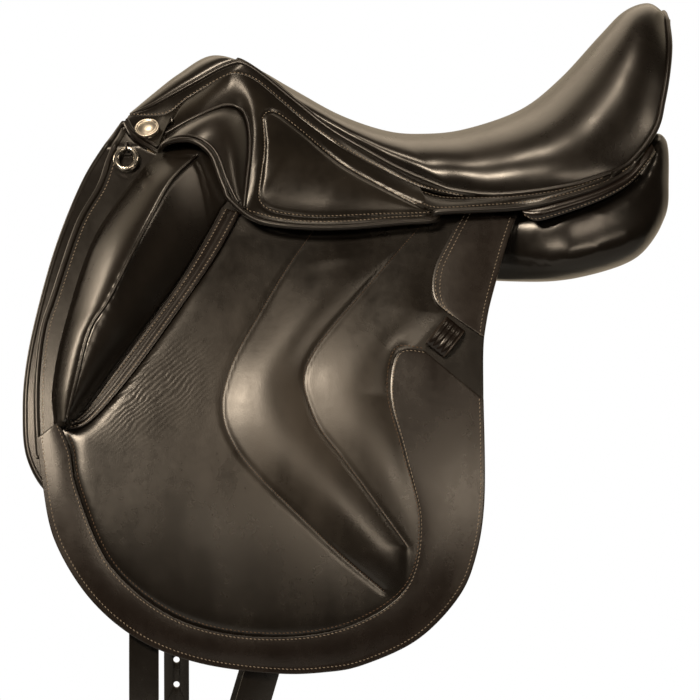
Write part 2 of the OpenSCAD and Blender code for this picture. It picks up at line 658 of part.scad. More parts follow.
nail_drawn = [-173, 71, 134];
module head_nail_right() {
    p = seat_point(nail_drawn);
    r = nail_d / 2;
    color(steel) translate(p) rotate([-47, 0, 0]) rotate([0, -6, 0]) translate([0, 0, lay_gap])
        rotate_extrude() polygon(concat([[0, 0], [r - 0.8, 0], [r, 0.9]],
            [for (a = [20:10:90]) [r * cos(a), 0.9 + (nail_h - 0.9) * sin(a)]]));
}

ring_at = [-188, 117];
ring_out = lay_gap + 2 + pin_gap + ring_wire / 2;
module dee_ring_right()
    color(steel) on_side(ring_at, ring_out) translate([0, (ring_d - ring_wire) / 2, 0])
        rotate_extrude() translate([(ring_d - ring_wire) / 2, 0]) circle(d = ring_wire);

module dee_staple_right() {
    wire = 2;
    bow = ring_wire / 2 + pin_gap + wire / 2;
    color(steel) on_side(ring_at, lay_gap) {
        translate([-3, -6, 0]) cube([6, 12, 1.6]);
        translate([0, 0, ring_out - lay_gap]) rotate([0, -90, 0])
            rotate_extrude() translate([bow, 0]) circle(d = wire);
    }
}

// Stirrup bar: a finger on an arm of a base plate, open to the rear behind its catch
bar_from = [-96, 110, 105];
bar_to = [-34, 100, 99];
bar_plate_h = 14;
bar_plate_t = 4;
catch_len = 16;
catch_t = 4;
bar_start = [bar_from.x * along, bar_from.y * across, bar_from.z + lifted];
bar_end = [bar_to.x * along, bar_to.y * across, bar_to.z + lifted];
bar_way = unit(bar_end - bar_start);
// Puts things on the bar, with their X along it
module on_bar(d) {
    turn = [0, asin(-bar_way.z), atan2(bar_way.y, bar_way.x)];
    translate(bar_start + bar_way * d) rotate(turn) children();
}
module stirrup_bar_right() {
    rest = arch_half(10)[7];
    inner = rest.y + head_plate_t;
    color(steel) {
        difference() {
            on_bar(0) rotate([0, 90, 0]) cylinder(h = bar_len, d = bar_d);
            on_bar(bar_len - bar_d / 2) translate([-bar_d / 2, -bar_d, -catch_t / 2 - pin_gap])
                cube([2 * bar_d, 2 * bar_d, catch_t + 2 * pin_gap]);
        }
        on_bar(bar_len - bar_d / 2) cylinder(h = bar_d - 1, d = catch_pin_d, center = true);
        on_bar(0) sphere(d = bar_d);
        translate(bar_start) rotate([90, 0, 0])
            cylinder(h = bar_start.y - inner - bar_plate_t / 2, d = bar_d);
        translate([(plate_x - 12) * along, inner, bar_start.z - bar_plate_h / 2])
            cube([bar_start.x + 16 - (plate_x - 12) * along, bar_plate_t, bar_plate_h]);
    }
}
module bar_catch_right()
    color(steel) on_bar(bar_len - bar_d / 2) difference() {
        union() {
            cylinder(h = catch_t, d = bar_d - 2, center = true);
            translate([0, 1 - bar_d / 2, -catch_t / 2]) cube([catch_len, bar_d - 2, catch_t]);
        }
        cylinder(h = 3 * catch_t, d = catch_pin_d + 2 * pin_gap, center = true);
    }

module panel_left() { to_left() panel_right(); }
module sweat_panel_left() { to_left() sweat_panel_right(); }
module skirt_band_left() { to_left() skirt_band_right(); }
module skirt_front_left() { to_left() skirt_front_right(); }
module rear_band_left() { to_left() rear_band_right(); }
module panel_facing_left() { to_left() panel_facing_right(); }
module head_nail_left() { to_left() head_nail_right(); }
module stirrup_bar_left() { to_left() stirrup_bar_right(); }
module girth_web_front_left() { to_left() girth_web_front_right(); }
module girth_web_rear_left() { to_left() girth_web_rear_right(); }
module skirt_left() { to_left() skirt_right(); }
module bar_pocket_left() { to_left() bar_pocket_right(); }
module skirt_piping_left() { to_left() skirt_piping_right(); }
module flap_left() { to_left() flap_right(); }
module flap_border_left() { to_left() flap_border_right(); }
module flap_patch_left() { to_left() flap_patch_right(); }
module keeper_left() { to_left() keeper_right(); }
module thigh_block_left() { to_left() thigh_block_right(); }
module block_flange_left() { to_left() block_flange_right(); }
module dee_staple_left() { to_left() dee_staple_right(); }
module dee_ring_left() { to_left() dee_ring_right(); }
module bar_catch_left() { to_left() bar_catch_right(); }
module billet_front_left() { to_left() billet_front_right(); }
module billet_rear_left() { to_left() billet_rear_right(); }

tree();
head_plate();
seat_webbing();
seat_foam();
seat_cover();
seat_welt();
cantle_back();
head_facing();
gullet_lining();
panel_left();
panel_right();
sweat_panel_left();
sweat_panel_right();
skirt_band_left();
skirt_band_right();
skirt_front_left();
skirt_front_right();
rear_band_left();
rear_band_right();
panel_facing_left();
panel_facing_right();
head_nail_left();
head_nail_right();
stirrup_bar_left();
stirrup_bar_right();
girth_web_front_left();
girth_web_front_right();
girth_web_rear_left();
girth_web_rear_right();
skirt_left();
skirt_right();
bar_pocket_left();
bar_pocket_right();
skirt_piping_left();
skirt_piping_right();
flap_left();
flap_right();
flap_border_left();
flap_border_right();
flap_patch_left();
flap_patch_right();
keeper_left();
keeper_right();
thigh_block_left();
thigh_block_right();
block_flange_left();
block_flange_right();
dee_staple_left();
dee_staple_right();
dee_ring_left();
dee_ring_right();
bar_catch_left();
bar_catch_right();
billet_front_left();
billet_front_right();
billet_rear_left();
billet_rear_right();
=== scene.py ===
# %% [markdown]
# # A dressage saddle
# The saddle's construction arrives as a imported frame: every solid at its real size, on bodies
# that are joined by hinges. This lesson dresses that frame in leather, thread and nickel. The
# near side is seen from the left, so each side piece is modelled once for the right, where Y is
# positive, and its twin is mirrored to the left.

# %% Load the frame
import math
import bpy
import numpy as np
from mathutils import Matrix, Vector
from mathutils.bvhtree import BVHTree


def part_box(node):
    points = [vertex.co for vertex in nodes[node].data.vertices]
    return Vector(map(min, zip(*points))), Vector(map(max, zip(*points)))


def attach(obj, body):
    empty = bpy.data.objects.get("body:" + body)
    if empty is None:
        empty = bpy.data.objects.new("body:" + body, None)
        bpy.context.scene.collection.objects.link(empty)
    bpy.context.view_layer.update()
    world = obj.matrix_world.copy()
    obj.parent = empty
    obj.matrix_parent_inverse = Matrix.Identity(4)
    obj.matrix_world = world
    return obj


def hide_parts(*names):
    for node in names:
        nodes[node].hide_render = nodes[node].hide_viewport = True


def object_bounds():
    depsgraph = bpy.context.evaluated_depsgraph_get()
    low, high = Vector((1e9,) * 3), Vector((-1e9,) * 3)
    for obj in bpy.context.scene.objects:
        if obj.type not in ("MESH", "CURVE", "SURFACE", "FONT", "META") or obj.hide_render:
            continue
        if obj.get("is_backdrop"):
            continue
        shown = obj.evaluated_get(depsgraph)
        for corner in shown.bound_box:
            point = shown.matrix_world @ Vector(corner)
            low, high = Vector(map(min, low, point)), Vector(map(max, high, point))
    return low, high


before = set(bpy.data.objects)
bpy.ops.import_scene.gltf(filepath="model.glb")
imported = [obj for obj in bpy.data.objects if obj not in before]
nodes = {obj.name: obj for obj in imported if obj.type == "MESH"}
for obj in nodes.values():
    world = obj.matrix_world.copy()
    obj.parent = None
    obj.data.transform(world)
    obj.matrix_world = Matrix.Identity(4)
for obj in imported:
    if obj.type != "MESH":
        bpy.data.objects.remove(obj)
cad_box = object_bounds()
scene = bpy.context.scene
MM = 0.001

# %% [markdown]
# ## Camera
# The photograph was taken square to the saddle's left side, from a few metres away and a little
# above its middle, with a long lens. A long lens far away keeps the two flaps almost in line.

# %% Place the camera
CAMERA_AWAY = 2600 * MM
CAMERA_RISE = math.radians(3.0)
AIM = Vector((0, 0, -58 * MM))
LENS, SENSOR = 151.7, 36
VIEW_END = 50

bpy.ops.object.select_all(action="DESELECT")
away = Vector((0, -math.cos(CAMERA_RISE), math.sin(CAMERA_RISE))) * CAMERA_AWAY
bpy.ops.object.camera_add(location=AIM + away, rotation=(math.pi / 2 - CAMERA_RISE, 0, 0))
camera = bpy.context.object
camera.name = "photo_camera"
camera.data.lens = LENS
camera.data.sensor_width = SENSOR
camera.data.clip_end = VIEW_END
scene.camera = camera
print("camera at", [round(v, 3) for v in camera.location])

# %% [markdown]
# ## Light
# The leather is almost black, so its form shows only by what it mirrors. A warm soft box high on
# the left draws the sheen on the flap, and a low one beside the camera fills the border and the
# panel. One overhead draws the slanting light on the side of the seat and whitens the nail. Two
# more stand before and behind the saddle, for the thigh block and the cantle, and a wide one on
# the far side is mirrored in the top of the seat.

# %% Hang the lamps
WARM_WHITE = (1.0, 0.82, 0.62)


def soft_box(name, place, aim, size, watts):
    turn = (Vector(aim) - Vector(place)).to_track_quat("-Z", "Y").to_euler()
    bpy.ops.object.light_add(type="AREA", location=place, rotation=turn)
    lamp = bpy.context.object
    lamp.name = name
    lamp.data.shape = "RECTANGLE"
    lamp.data.size, lamp.data.size_y = size
    lamp.data.energy = watts
    lamp.data.color = WARM_WHITE


soft_box("key_box", (-0.95, -1.87, 1.1), (0, 0, -0.08), (0.6, 0.35), 38)
soft_box("front_box", (0.38, -2.16, 0.56), (0, 0, -0.1), (0.9, 0.3), 7)
soft_box("over_box", (-0.4, -0.6, 2.1), (0.12, -0.08, 0.1), (0.24, 0.45), 11)
soft_box("head_box", (-1.75, 0.6, 0.65), (-0.15, -0.1, 0.05), (0.3, 0.8), 10)
soft_box("cantle_box", (1.22, -1.09, 1.45), (0.22, -0.05, 0.1), (0.25, 0.3), 3)
soft_box("far_box", (0, 1.35, 1.5), (0, 0, 0.15), (2.2, 1.1), 8)

# %% [markdown]
# ## Shader maths
# Finishes are node trees. A small class wraps a socket, so that a mask can be written as a sum
# or a product of others. Another wraps a tree, and one of its methods adds any node with its
# settings and its links; a finish is such a tree with the sockets that leather and metal need.

# %% Nodes
class Wire:
    """A node's output, used in sums and products as a number is."""

    def __init__(self, owner, socket):
        self.owner, self.socket = owner, socket

    def math(self, operation, first, second):
        return self.owner.node("ShaderNodeMath", {"operation": operation}, {0: first, 1: second})

    def __add__(self, other):
        return self.math("ADD", self, other)

    def __sub__(self, other):
        return self.math("SUBTRACT", self, other)

    def __mul__(self, other):
        return self.math("MULTIPLY", self, other)

    __radd__, __rmul__ = __add__, __mul__


class NodeTree:
    """A shader under construction."""

    def __init__(self, tree):
        self.tree = tree

    def node(self, kind, settings=None, inputs=None, output=0):
        node = self.tree.nodes.new(kind)
        for name, value in (settings or {}).items():
            setattr(node, name, value)
        for name, value in (inputs or {}).items():
            self.feed(node.inputs[name], value)
        return Wire(self, node.outputs[output])

    def feed(self, socket, value):
        if isinstance(value, Wire):
            self.tree.links.new(value.socket, socket)
        else:
            socket.default_value = value

    def blend(self, share, first, second):
        sockets = {"Factor": share, 6: first, 7: second}
        return self.node("ShaderNodeMix", {"data_type": "RGBA"}, sockets, output=2)

    def clamp(self, value):
        return self.node("ShaderNodeClamp", {}, {"Value": value})


# %% Materials
class Finish(NodeTree):
    """A material under construction."""

    def __init__(self, name):
        self.material = bpy.data.materials.new(name)
        self.material.use_nodes = True
        super().__init__(self.material.node_tree)
        self.shader = self.tree.nodes["Principled BSDF"]
        self.place = self.node("ShaderNodeTexCoord", output="Object")

    def surface(self, **inputs):
        for name, value in inputs.items():
            self.feed(self.shader.inputs[name.replace("_", " ")], value)
        return self.material

    def noise(self, size, detail=3, stretch=(1, 1, 1)):
        """Soft noise whose marks are about size metres across."""
        place = self.node("ShaderNodeMapping", {}, {"Vector": self.place, "Scale": stretch})
        sockets = {"Vector": place, "Scale": 1 / size, "Detail": detail}
        return self.node("ShaderNodeTexNoise", {}, sockets)

    def cells(self, size):
        sockets = {"Vector": self.place, "Scale": 1 / size}
        return self.node("ShaderNodeTexVoronoi", {}, sockets)

    def wrinkles(self):
        """Fine slanting creases, a few millimetres apart."""
        slant = {"Vector": self.place, "Rotation": (0, 0.7, 0)}
        sockets = {"Vector": self.node("ShaderNodeMapping", {}, slant), "Scale": 85,
                   "Distortion": 8, "Detail": 3, "Detail Scale": 0.6}
        return self.node("ShaderNodeTexWave", {"bands_direction": "Z"}, sockets)

    def mark(self, name):
        """A value that the piece's own mesh carries at each point."""
        return self.node("ShaderNodeAttribute", {"attribute_name": name}, output="Fac")

    def bump(self, height, depth):
        sockets = {"Height": height, "Strength": 1.0, "Distance": depth}
        return self.node("ShaderNodeBump", {}, sockets)


# %% [markdown]
# ## Leather
# The saddle is one dark brown, close to black, in several leathers: a worn hide on the flaps,
# glossier ones on the seat, skirts and panels, and a reddish one on the trim. All share one
# recipe. Cloudy noise moves the tone and fine cells give the grain. Three marks that a mesh can
# carry change it in places: one lightens what rubs and, on the flap, also paints in the sheen of
# the light; one paints shade into the grooves of the seams; and crease raises fine wrinkles.

# %% Mix the leathers
CLOUD, SMEAR, CREASE, FLECK, PORE = 0.07, 0.025, 0.012, 0.006, 0.0011


def leather(name, dark, worn, rough, grain=0.00004, coat=0.0):
    f = Finish(name)
    cloud = f.noise(CLOUD)
    fleck = f.noise(FLECK)
    smear = f.noise(SMEAR, stretch=(1, 1, 0.25))
    pores = f.cells(PORE)
    crease = f.noise(CREASE, 5, (1, 1, 2.2))
    uneven = (cloud - 0.5) * 0.35 + (fleck - 0.5) * 0.14 + (smear - 0.5) * 0.3
    # Worn leather is paler; on the flap this paler tone also paints in the sheen of the light.
    wear = f.clamp(f.mark("wear") * (0.55 + smear * 0.9) + uneven)
    tone = f.blend(wear, (*dark, 1), (*worn, 1))
    # Painted shade: the seam mark darkens the grooves of the seams, where shade falls.
    shade = f.clamp(f.mark("seam") * 0.75)
    colour = f.blend(shade, tone, (dark[0] * 0.35, dark[1] * 0.33, dark[2] * 0.32, 1))
    patchy = (cloud - 0.5) * 0.06 + (fleck - 0.5) * 0.06 + (smear - 0.5) * 0.12
    roughness = f.clamp(rough + wear * 0.13 + patchy)
    height = pores * 0.5 + crease * 0.7 + fleck * 0.5 + f.wrinkles() * f.mark("crease") * 3
    return f.surface(Base_Color=colour, Roughness=roughness, Normal=f.bump(height, grain),
                     Coat_Weight=coat, Coat_Roughness=0.22, Specular_IOR_Level=0.5)


FLAP_LEATHER = leather("flap_leather", (0.0085, 0.0070, 0.0056), (0.038, 0.031, 0.024), 0.25)
SEAT_LEATHER = leather("seat_leather", (0.0080, 0.0064, 0.0050), (0.022, 0.017, 0.013), 0.28,
                       grain=0.00003, coat=0.2)
PANEL_LEATHER = leather("panel_leather", (0.0075, 0.0060, 0.0047), (0.020, 0.016, 0.012), 0.23,
                        grain=0.00003)
SKIRT_LEATHER = leather("skirt_leather", (0.0085, 0.0070, 0.0056), (0.030, 0.025, 0.019), 0.19)
TRIM_LEATHER = leather("trim_leather", (0.0085, 0.0056, 0.0042), (0.026, 0.018, 0.013), 0.26)
EDGE_LEATHER = leather("edge_leather", (0.0080, 0.0060, 0.0046), (0.026, 0.020, 0.015), 0.32,
                       grain=0.00003)
print("leathers:", [m.name for m in bpy.data.materials if "leather" in m.name])

# %% [markdown]
# ## Thread, metal and what lies inside
# The stitching is waxed tan thread, greyed by use, and darker brown on the flap's face. The nails
# and rings are nickel plate, polished but not perfect. Under the leather are plain steel, beech,
# webbing and foam, which show only from below and where the skirt is lifted. A wave node of scale
# 0.314 / p repeats every p metres, which gives the weave its pitch.

# %% Mix the other finishes
WAVE = 0.314


def thread_finish(name, dark, pale):
    f = Finish(name)
    tone = f.blend(f.noise(0.02, 2), (*dark, 1), (*pale, 1))
    return f.surface(Base_Color=tone, Roughness=0.62)


def metal_finish(name, colour, rough, scratch):
    f = Finish(name)
    fine = f.noise(0.0012, 4, scratch)
    smear = f.noise(0.01, 3)
    tone = f.blend(smear, (*colour, 1), tuple(c * 0.8 for c in colour) + (1,))
    roughness = f.clamp(rough + (fine - 0.5) * 0.16 + (smear - 0.5) * 0.12)
    return f.surface(Base_Color=tone, Metallic=1.0, Roughness=roughness,
                     Normal=f.bump(fine, 0.00002))


def beech_finish():
    f = Finish("laminated_beech")
    rings = f.noise(0.004, 4, (0.12, 1, 1))
    tone = f.blend(rings, (0.42, 0.27, 0.14, 1), (0.60, 0.43, 0.26, 1))
    return f.surface(Base_Color=tone, Roughness=0.5 + rings * 0.2, Normal=f.bump(rings, 0.0001))


def woven_finish(name, dark, pale, pitch):
    f = Finish(name)
    place = f.node("ShaderNodeMapping", {}, {"Vector": f.place, "Rotation": (0, 0, 0.6)})
    sockets = {"Vector": place, "Scale": WAVE / pitch}
    warp, weft = [f.node("ShaderNodeTexWave", {"bands_direction": way}, sockets) for way in "XZ"]
    weave = f.clamp(warp * weft + f.noise(0.003, 3) * 0.3)
    tone = f.blend(weave, (*dark, 1), (*pale, 1))
    return f.surface(Base_Color=tone, Roughness=0.85, Normal=f.bump(weave, 0.0003))


THREAD = thread_finish("waxed_thread", (0.17, 0.138, 0.105), (0.34, 0.285, 0.225))
BROWN_THREAD = thread_finish("brown_thread", (0.075, 0.045, 0.026), (0.165, 0.100, 0.058))
NICKEL = metal_finish("polished_nickel", (0.66, 0.63, 0.57), 0.2, (1, 1, 1))
WORN_NICKEL = metal_finish("worn_nickel", (0.72, 0.67, 0.58), 0.34, (1, 1, 1))
STEEL = metal_finish("plain_steel", (0.42, 0.42, 0.42), 0.36, (0.1, 1, 1))
BEECH = beech_finish()
WEBBING = woven_finish("jute_webbing", (0.23, 0.18, 0.11), (0.46, 0.38, 0.26), 0.0016)
FOAM = woven_finish("seat_filling", (0.42, 0.35, 0.24), (0.62, 0.54, 0.40), 0.0008)
print("finishes:", len(bpy.data.materials))

# %% [markdown]
# ## Curves and sheets
# Leather is cut flat and then bent, so nearly every piece is a grid of points between two drawn
# lines. A smooth curve through a few points gives each line, a mix of two lines gives the
# grid, and Solidify and Bevel give the grid its thickness and its rounded, burnished edge.

# %% Curves, grids and their normals
OUT = np.array((0.0, 1.0, 0.0))


def smooth(points, n):
    """n + 1 points at equal steps along a smooth curve through a few."""
    p = np.array(points, float)
    held = np.vstack([p[:1], p, p[-1:]])
    t = np.arange(0, 1, 0.1)[:, None]
    fine = [b + ((c - a) * t + (2 * a - 5 * b + 4 * c - d) * t ** 2
                 + (3 * b - a - 3 * c + d) * t ** 3) / 2
            for a, b, c, d in zip(held, held[1:], held[2:], held[3:])]
    fine = np.vstack(fine + [p[-1:]])
    run = np.r_[0, np.cumsum(np.linalg.norm(np.diff(fine, axis=0), axis=1))]
    want = np.linspace(0, run[-1], n + 1)
    return np.column_stack([np.interp(want, run, column) for column in fine.T])


def loft(first, last, m):
    """Rows of points from one line to another."""
    share = np.linspace(0, 1, m + 1)[:, None, None]
    return first[None] * (1 - share) + last[None] * share


def unit(v):
    return v / np.maximum(np.linalg.norm(v, axis=-1, keepdims=True), 1e-9)


def facing(grid):
    """Across a grid's face at each point, not yet of unit length."""
    return np.cross(np.gradient(grid, axis=0), np.gradient(grid, axis=1))


def grid_normals(grid, out=OUT):
    n = unit(facing(grid))
    return n if (n @ out).mean() > 0 else -n


def away_from(points, line):
    """Distance of every point from the nearest point of a line."""
    flat, batch = points.reshape(-1, points.shape[-1]), 4000
    near = [np.sqrt(((flat[k:k + batch, None] - line[None]) ** 2).sum(-1).min(1))
            for k in range(0, len(flat), batch)]
    return np.concatenate(near).reshape(points.shape[:-1])


def hump(distance, width):
    return np.exp(-(distance / width) ** 2)


def step(value, low, high):
    """Rises smoothly from 0 at low to 1 at high."""
    t = np.clip((value - low) / (high - low), 0, 1)
    return t * t * (3 - 2 * t)


def oval(xz, centre, size, slant=0):
    """1 at a centre, fading all round it over an oval of two half sizes."""
    dx, dz = xz[..., 0] - centre[0], xz[..., 1] - centre[1]
    return hump(np.hypot((dx + slant * dz) / size[0], (dz - slant * dx) / size[1]), 1)


def arch(n):
    """n + 1 heights that rise from 0 to 1 and fall again."""
    return np.sin(np.linspace(0, np.pi, n + 1))


def inset(line, toward, distance):
    """A line moved a fixed distance towards another one."""
    return line + unit(toward - line) * distance


# %% Meshes from grids
def new_piece(name, points, faces):
    mesh = bpy.data.meshes.new(name)
    mesh.from_pydata((points * MM).tolist(), [], faces)
    mesh.shade_smooth()
    obj = bpy.data.objects.new(name, mesh)
    scene.collection.objects.link(obj)
    return obj


def places_of(obj):
    places = np.empty(len(obj.data.vertices) * 3)
    obj.data.vertices.foreach_get("co", places)
    return places.reshape(-1, 3)


def move_to(obj, places):
    obj.data.vertices.foreach_set("co", places.ravel())
    obj.data.update()


def pick(obj):
    """Makes one object the only selected one and the active one."""
    bpy.ops.object.select_all(action="DESELECT")
    obj.select_set(True)
    bpy.context.view_layer.objects.active = obj


def modify(obj, kind, **settings):
    """Adds a modifier and applies it at once."""
    pick(obj)
    bpy.ops.object.modifier_add(type=kind)
    modifier = obj.modifiers[-1]
    for name, value in settings.items():
        setattr(modifier, name, value)
    bpy.ops.object.modifier_apply(modifier=modifier.name)


def round_edges(obj, width, angle=50, segments=2):
    modify(obj, "BEVEL", width=width * MM, segments=segments, limit_method="ANGLE",
           angle_limit=math.radians(angle))
    obj.data.shade_smooth()


def grid_faces(rows, cols, closed=False):
    i = np.arange(rows * cols).reshape(rows, cols)
    if closed:
        i = np.hstack([i, i[:, :1]])
    quads = np.stack([i[:-1, :-1], i[1:, :-1], i[1:, 1:], i[:-1, 1:]], -1)
    return quads.reshape(-1, 4)


def set_marks(obj, **marks):
    for name, values in marks.items():
        layer = obj.data.attributes.new(name, "FLOAT", "POINT")
        layer.data.foreach_set("value", np.asarray(values, np.float32).ravel())


# %% Sheets, closed pieces and cords
def hide_sheet(name, grid, thick, out=OUT, edge=0.9, **marks):
    """A sheet of leather whose face is the grid, with its thickness behind it."""
    faces = grid_faces(*grid.shape[:2])
    if (facing(grid) @ np.asarray(out, float)).mean() < 0:
        faces = faces[:, ::-1]
    obj = new_piece(name, grid.reshape(-1, 3), faces.tolist())
    set_marks(obj, **marks)
    modify(obj, "SOLIDIFY", thickness=thick * MM, offset=-1, use_even_offset=False)
    round_edges(obj, edge)
    return obj


def slab(name, top, under, edge=1.0, **marks):
    """A closed piece between an outer and an inner grid of the same size."""
    rows, cols = top.shape[:2]
    count = rows * cols
    i = np.arange(count).reshape(rows, cols)
    rim = np.r_[i[0], i[1:, -1], i[-1, -2::-1], i[-2:0:-1, 0]]
    quads = grid_faces(rows, cols)
    wall = np.column_stack([rim, np.roll(rim, -1), np.roll(rim, -1) + count, rim + count])
    faces = np.vstack([quads, quads[:, ::-1] + count, wall])
    if (facing(top) * (top - under)).sum() < 0:
        faces = faces[:, ::-1]
    obj = new_piece(name, np.vstack([top.reshape(-1, 3), under.reshape(-1, 3)]), faces.tolist())
    set_marks(obj, **{k: np.r_[v.ravel(), v.ravel()] for k, v in marks.items()})
    round_edges(obj, edge)
    return obj


def ringed(name, rings):
    """A closed piece from a row of rings of points, capped at both ends."""
    rows, sides = rings.shape[:2]
    last = rows * sides - 1
    faces = grid_faces(rows, sides, closed=True)[:, ::-1].tolist()
    faces += [list(range(sides)), list(range(last, last - sides, -1))]
    return new_piece(name, rings.reshape(-1, 3), faces)


def tube(name, path, d, sides=10):
    """A round cord along a path."""
    path = np.asarray(path, float)
    way = unit(np.gradient(path, axis=0))
    side = np.cross(way[0], (0.3, 0.2, 0.93))
    turn = np.linspace(0, 2 * np.pi, sides, endpoint=False)[:, None]
    rings = []
    for p, t in zip(path, way):
        side = unit(side - t * (side @ t))
        rings.append(p + d / 2 * (np.cos(turn) * side + np.sin(turn) * np.cross(t, side)))
    return ringed(name, np.stack(rings))


# %% Twins and bodies
def twin_of(piece, name):
    """A left-hand copy with a mesh of its own."""
    twin = piece.copy()
    twin.data = piece.data.copy()
    twin.name = twin.data.name = name
    move_to(twin, places_of(twin) * (1, -1, 1))
    twin.data.flip_normals()
    scene.collection.objects.link(twin)
    return twin


def settle(piece, finish, body, node_names=()):
    piece.data.materials.clear()
    piece.data.materials.append(finish)
    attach(piece, body)
    if node_names:
        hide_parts(*node_names)


def settle_pair(right, finish, body="saddle", stands_for=()):
    """Gives a right-hand piece and its left twin their finish, body and nodes."""
    kind = right.name
    left = twin_of(right, kind + "_left")
    right.name = right.data.name = kind + "_right"
    for side, piece in (("right", right), ("left", left)):
        rides = body if body == "saddle" else side + "_" + body
        settle(piece, finish, rides, [n + "_" + side for n in stands_for])
    print(kind, len(right.data.polygons), "faces a side")
    return right, left


def cord_pair(name, path, d, sides=10, body="saddle", stands_for=()):
    """A cord of edge leather on each side."""
    settle_pair(tube(name, path, d, sides), EDGE_LEATHER, body, stands_for)


# %% [markdown]
# ## Seat
# The seat is one hide, wet-moulded over its filling. It is drawn by a line down its middle and a
# line along its edge, with a full, rounded section between them. Long soft folds are added where
# the leather is drawn down to the welt.

# %% Draw the seat
SEAT_MID = [(-192, 0, 150), (-172, 0, 167), (-150, 0, 184), (-121, 0, 200), (-88, 0, 192),
            (-50, 0, 171), (-10, 0, 149), (30, 0, 135), (62, 0, 132), (100, 0, 136),
            (149, 0, 153), (184, 0, 180), (219, 0, 218), (240, 0, 239), (260, 0, 246),
            (273, 0, 238)]
SEAT_EDGE = [(-190, 36, 148), (-168, 44, 158), (-136, 50, 175), (-105, 53, 191), (-87, 56, 190),
             (-47, 65, 159), (-18, 74, 136), (14, 86, 117), (41, 99, 102), (71, 113, 89),
             (90, 120, 83), (125, 132, 80), (175, 141, 86), (208, 140, 95), (232, 134, 106),
             (254, 119, 133), (262, 104, 158), (268, 86, 184), (272, 62, 208), (273, 30, 230)]
SEAT_FULL, SEAT_FOLD = 2.3, 0.2
COVER_T = 2.5

turn = np.linspace(-1, 1, 141)[:, None]
run = np.linspace(0, 1, 241)[None]
power = 2 / SEAT_FULL
round_out = np.sign(turn) * np.sin(np.abs(turn) * np.pi / 2) ** power
round_up = (np.cos(np.abs(turn) * np.pi / 2).clip(0) ** power)[..., None]
mid, edge = smooth(SEAT_MID, 240)[None], smooth(SEAT_EDGE, 240)[None]
seat = edge + (mid - edge) * round_up
seat[..., 1] = edge[..., 1] * round_out
folds = SEAT_FOLD * np.sin(run * 95 + 3 * np.sin(turn * 4)) * hump(np.abs(turn) - 0.8, 0.16)
seat += grid_normals(seat, (0, 0, 1)) * (folds * hump(run - 0.52, 0.22))[..., None]
rubbed_and_sheen = 0.5 * hump(run - 0.55, 0.25) * hump(turn, 0.7)
cover = hide_sheet("seat_leather_cover", seat, COVER_T, out=(0, 0, 1), wear=rubbed_and_sheen)
settle(cover, SEAT_LEATHER, "saddle", ["seat_cover"])
print("seat:", len(cover.data.polygons), "faces")

# %% Run the welt round the seat
WELT_TOP = [(274, 18, 235.5), (274, 8, 237.5)]
WELT_D, WELT_OUT = 4.6, 2.6


def welt_path(n):
    """The welt's middle, outside the seat's edge and a little closer to it behind."""
    line = smooth(SEAT_EDGE, n)
    rear = np.clip((line[:, 0] - 215) / 40, 0, 1)
    way = np.column_stack([0.2 + 0.8 * rear, np.full(n + 1, 0.7), np.full(n + 1, -0.35)])
    return line + unit(way) * (WELT_OUT - 0.6 * rear[:, None])


half = np.vstack([welt_path(150), WELT_TOP])
around = np.vstack([half, half[::-1] * (1, -1, 1)])
welt = tube("welt", around, WELT_D, sides=12)
settle(welt, EDGE_LEATHER, "saddle", ["seat_welt"])
print("welt:", len(around), "rings")

# %% [markdown]
# ## Side form
# The flap and all that is sewn to it lie on one curved form, nearly upright at the top and
# bulging outward below. A point drawn on it needs only its X and Z.

# %% The side form
SIDE_HEAD, SIDE_FLARE, SIDE_LOW = 88, 0.08, 232
SIDE_TOP, SIDE_DEPTH = 130, 460


def side_y(x, z):
    """Half width of the form, which widens to the rear above and is even below."""
    top = SIDE_HEAD + SIDE_FLARE * (np.minimum(x, 160) + 190)
    share = np.clip((SIDE_TOP - z) / SIDE_DEPTH, 0, 1)
    return top + (SIDE_LOW - top) * np.sin(np.pi / 2 * share)


def on_side(xz, off=0.0):
    xz = np.asarray(xz, float)
    x, z = xz[..., 0], xz[..., 1]
    return np.stack([x, side_y(x, z) + off, z], -1)


def ripple(xz, length, slant):
    """Gentle unevenness of a hide, about one high, with marks of that length."""
    x, z = xz[..., 0] / length, xz[..., 1] / length
    return (np.sin(x + slant * z) + np.sin(1.7 * z - 0.6 * x + 2) + np.sin(2.3 * x + z + 4)) / 3


# %% [markdown]
# ## Flap
# The flap is a long sheet between its front and rear edges. Two quilted seams run down it,
# so the sheet is pressed in along them. Its middle is rubbed paler and creased by the rider's leg,
# and the paler oval also paints in the sheen of the light there.

# %% Cut the flap
FLAP_FRONT = [(-193, 134), (-203, 110), (-211, 85), (-228, 53), (-246, -6), (-254, -35),
              (-257, -76), (-255, -119), (-250, -155), (-239, -201), (-210, -247), (-170, -280),
              (-120, -299), (-60, -307)]
FLAP_REAR = [(141, 66), (128, 33), (116, -8), (110, -40), (109, -88), (109, -168), (101, -216),
             (86, -248), (54, -280), (11, -300), (-20, -306)]
SEAM_ONE = [(-31, 48), (-54, 15), (-76, -22), (-94, -54), (-103, -81), (-104, -98), (-100, -114),
            (-89, -133), (-71, -153), (-39, -183), (-8, -212), (27, -241)]
SEAM_TWO = [(58, 52), (34, 25), (6, -7), (-20, -37), (-34, -58), (-38, -73), (-35, -88),
            (-25, -111), (-7, -134), (16, -164), (47, -206)]
FLAP_T = 4
FLAP_SAG, CORNER_DROP = 18, 16
LEAN_FROM, LEAN = 120, 1.3

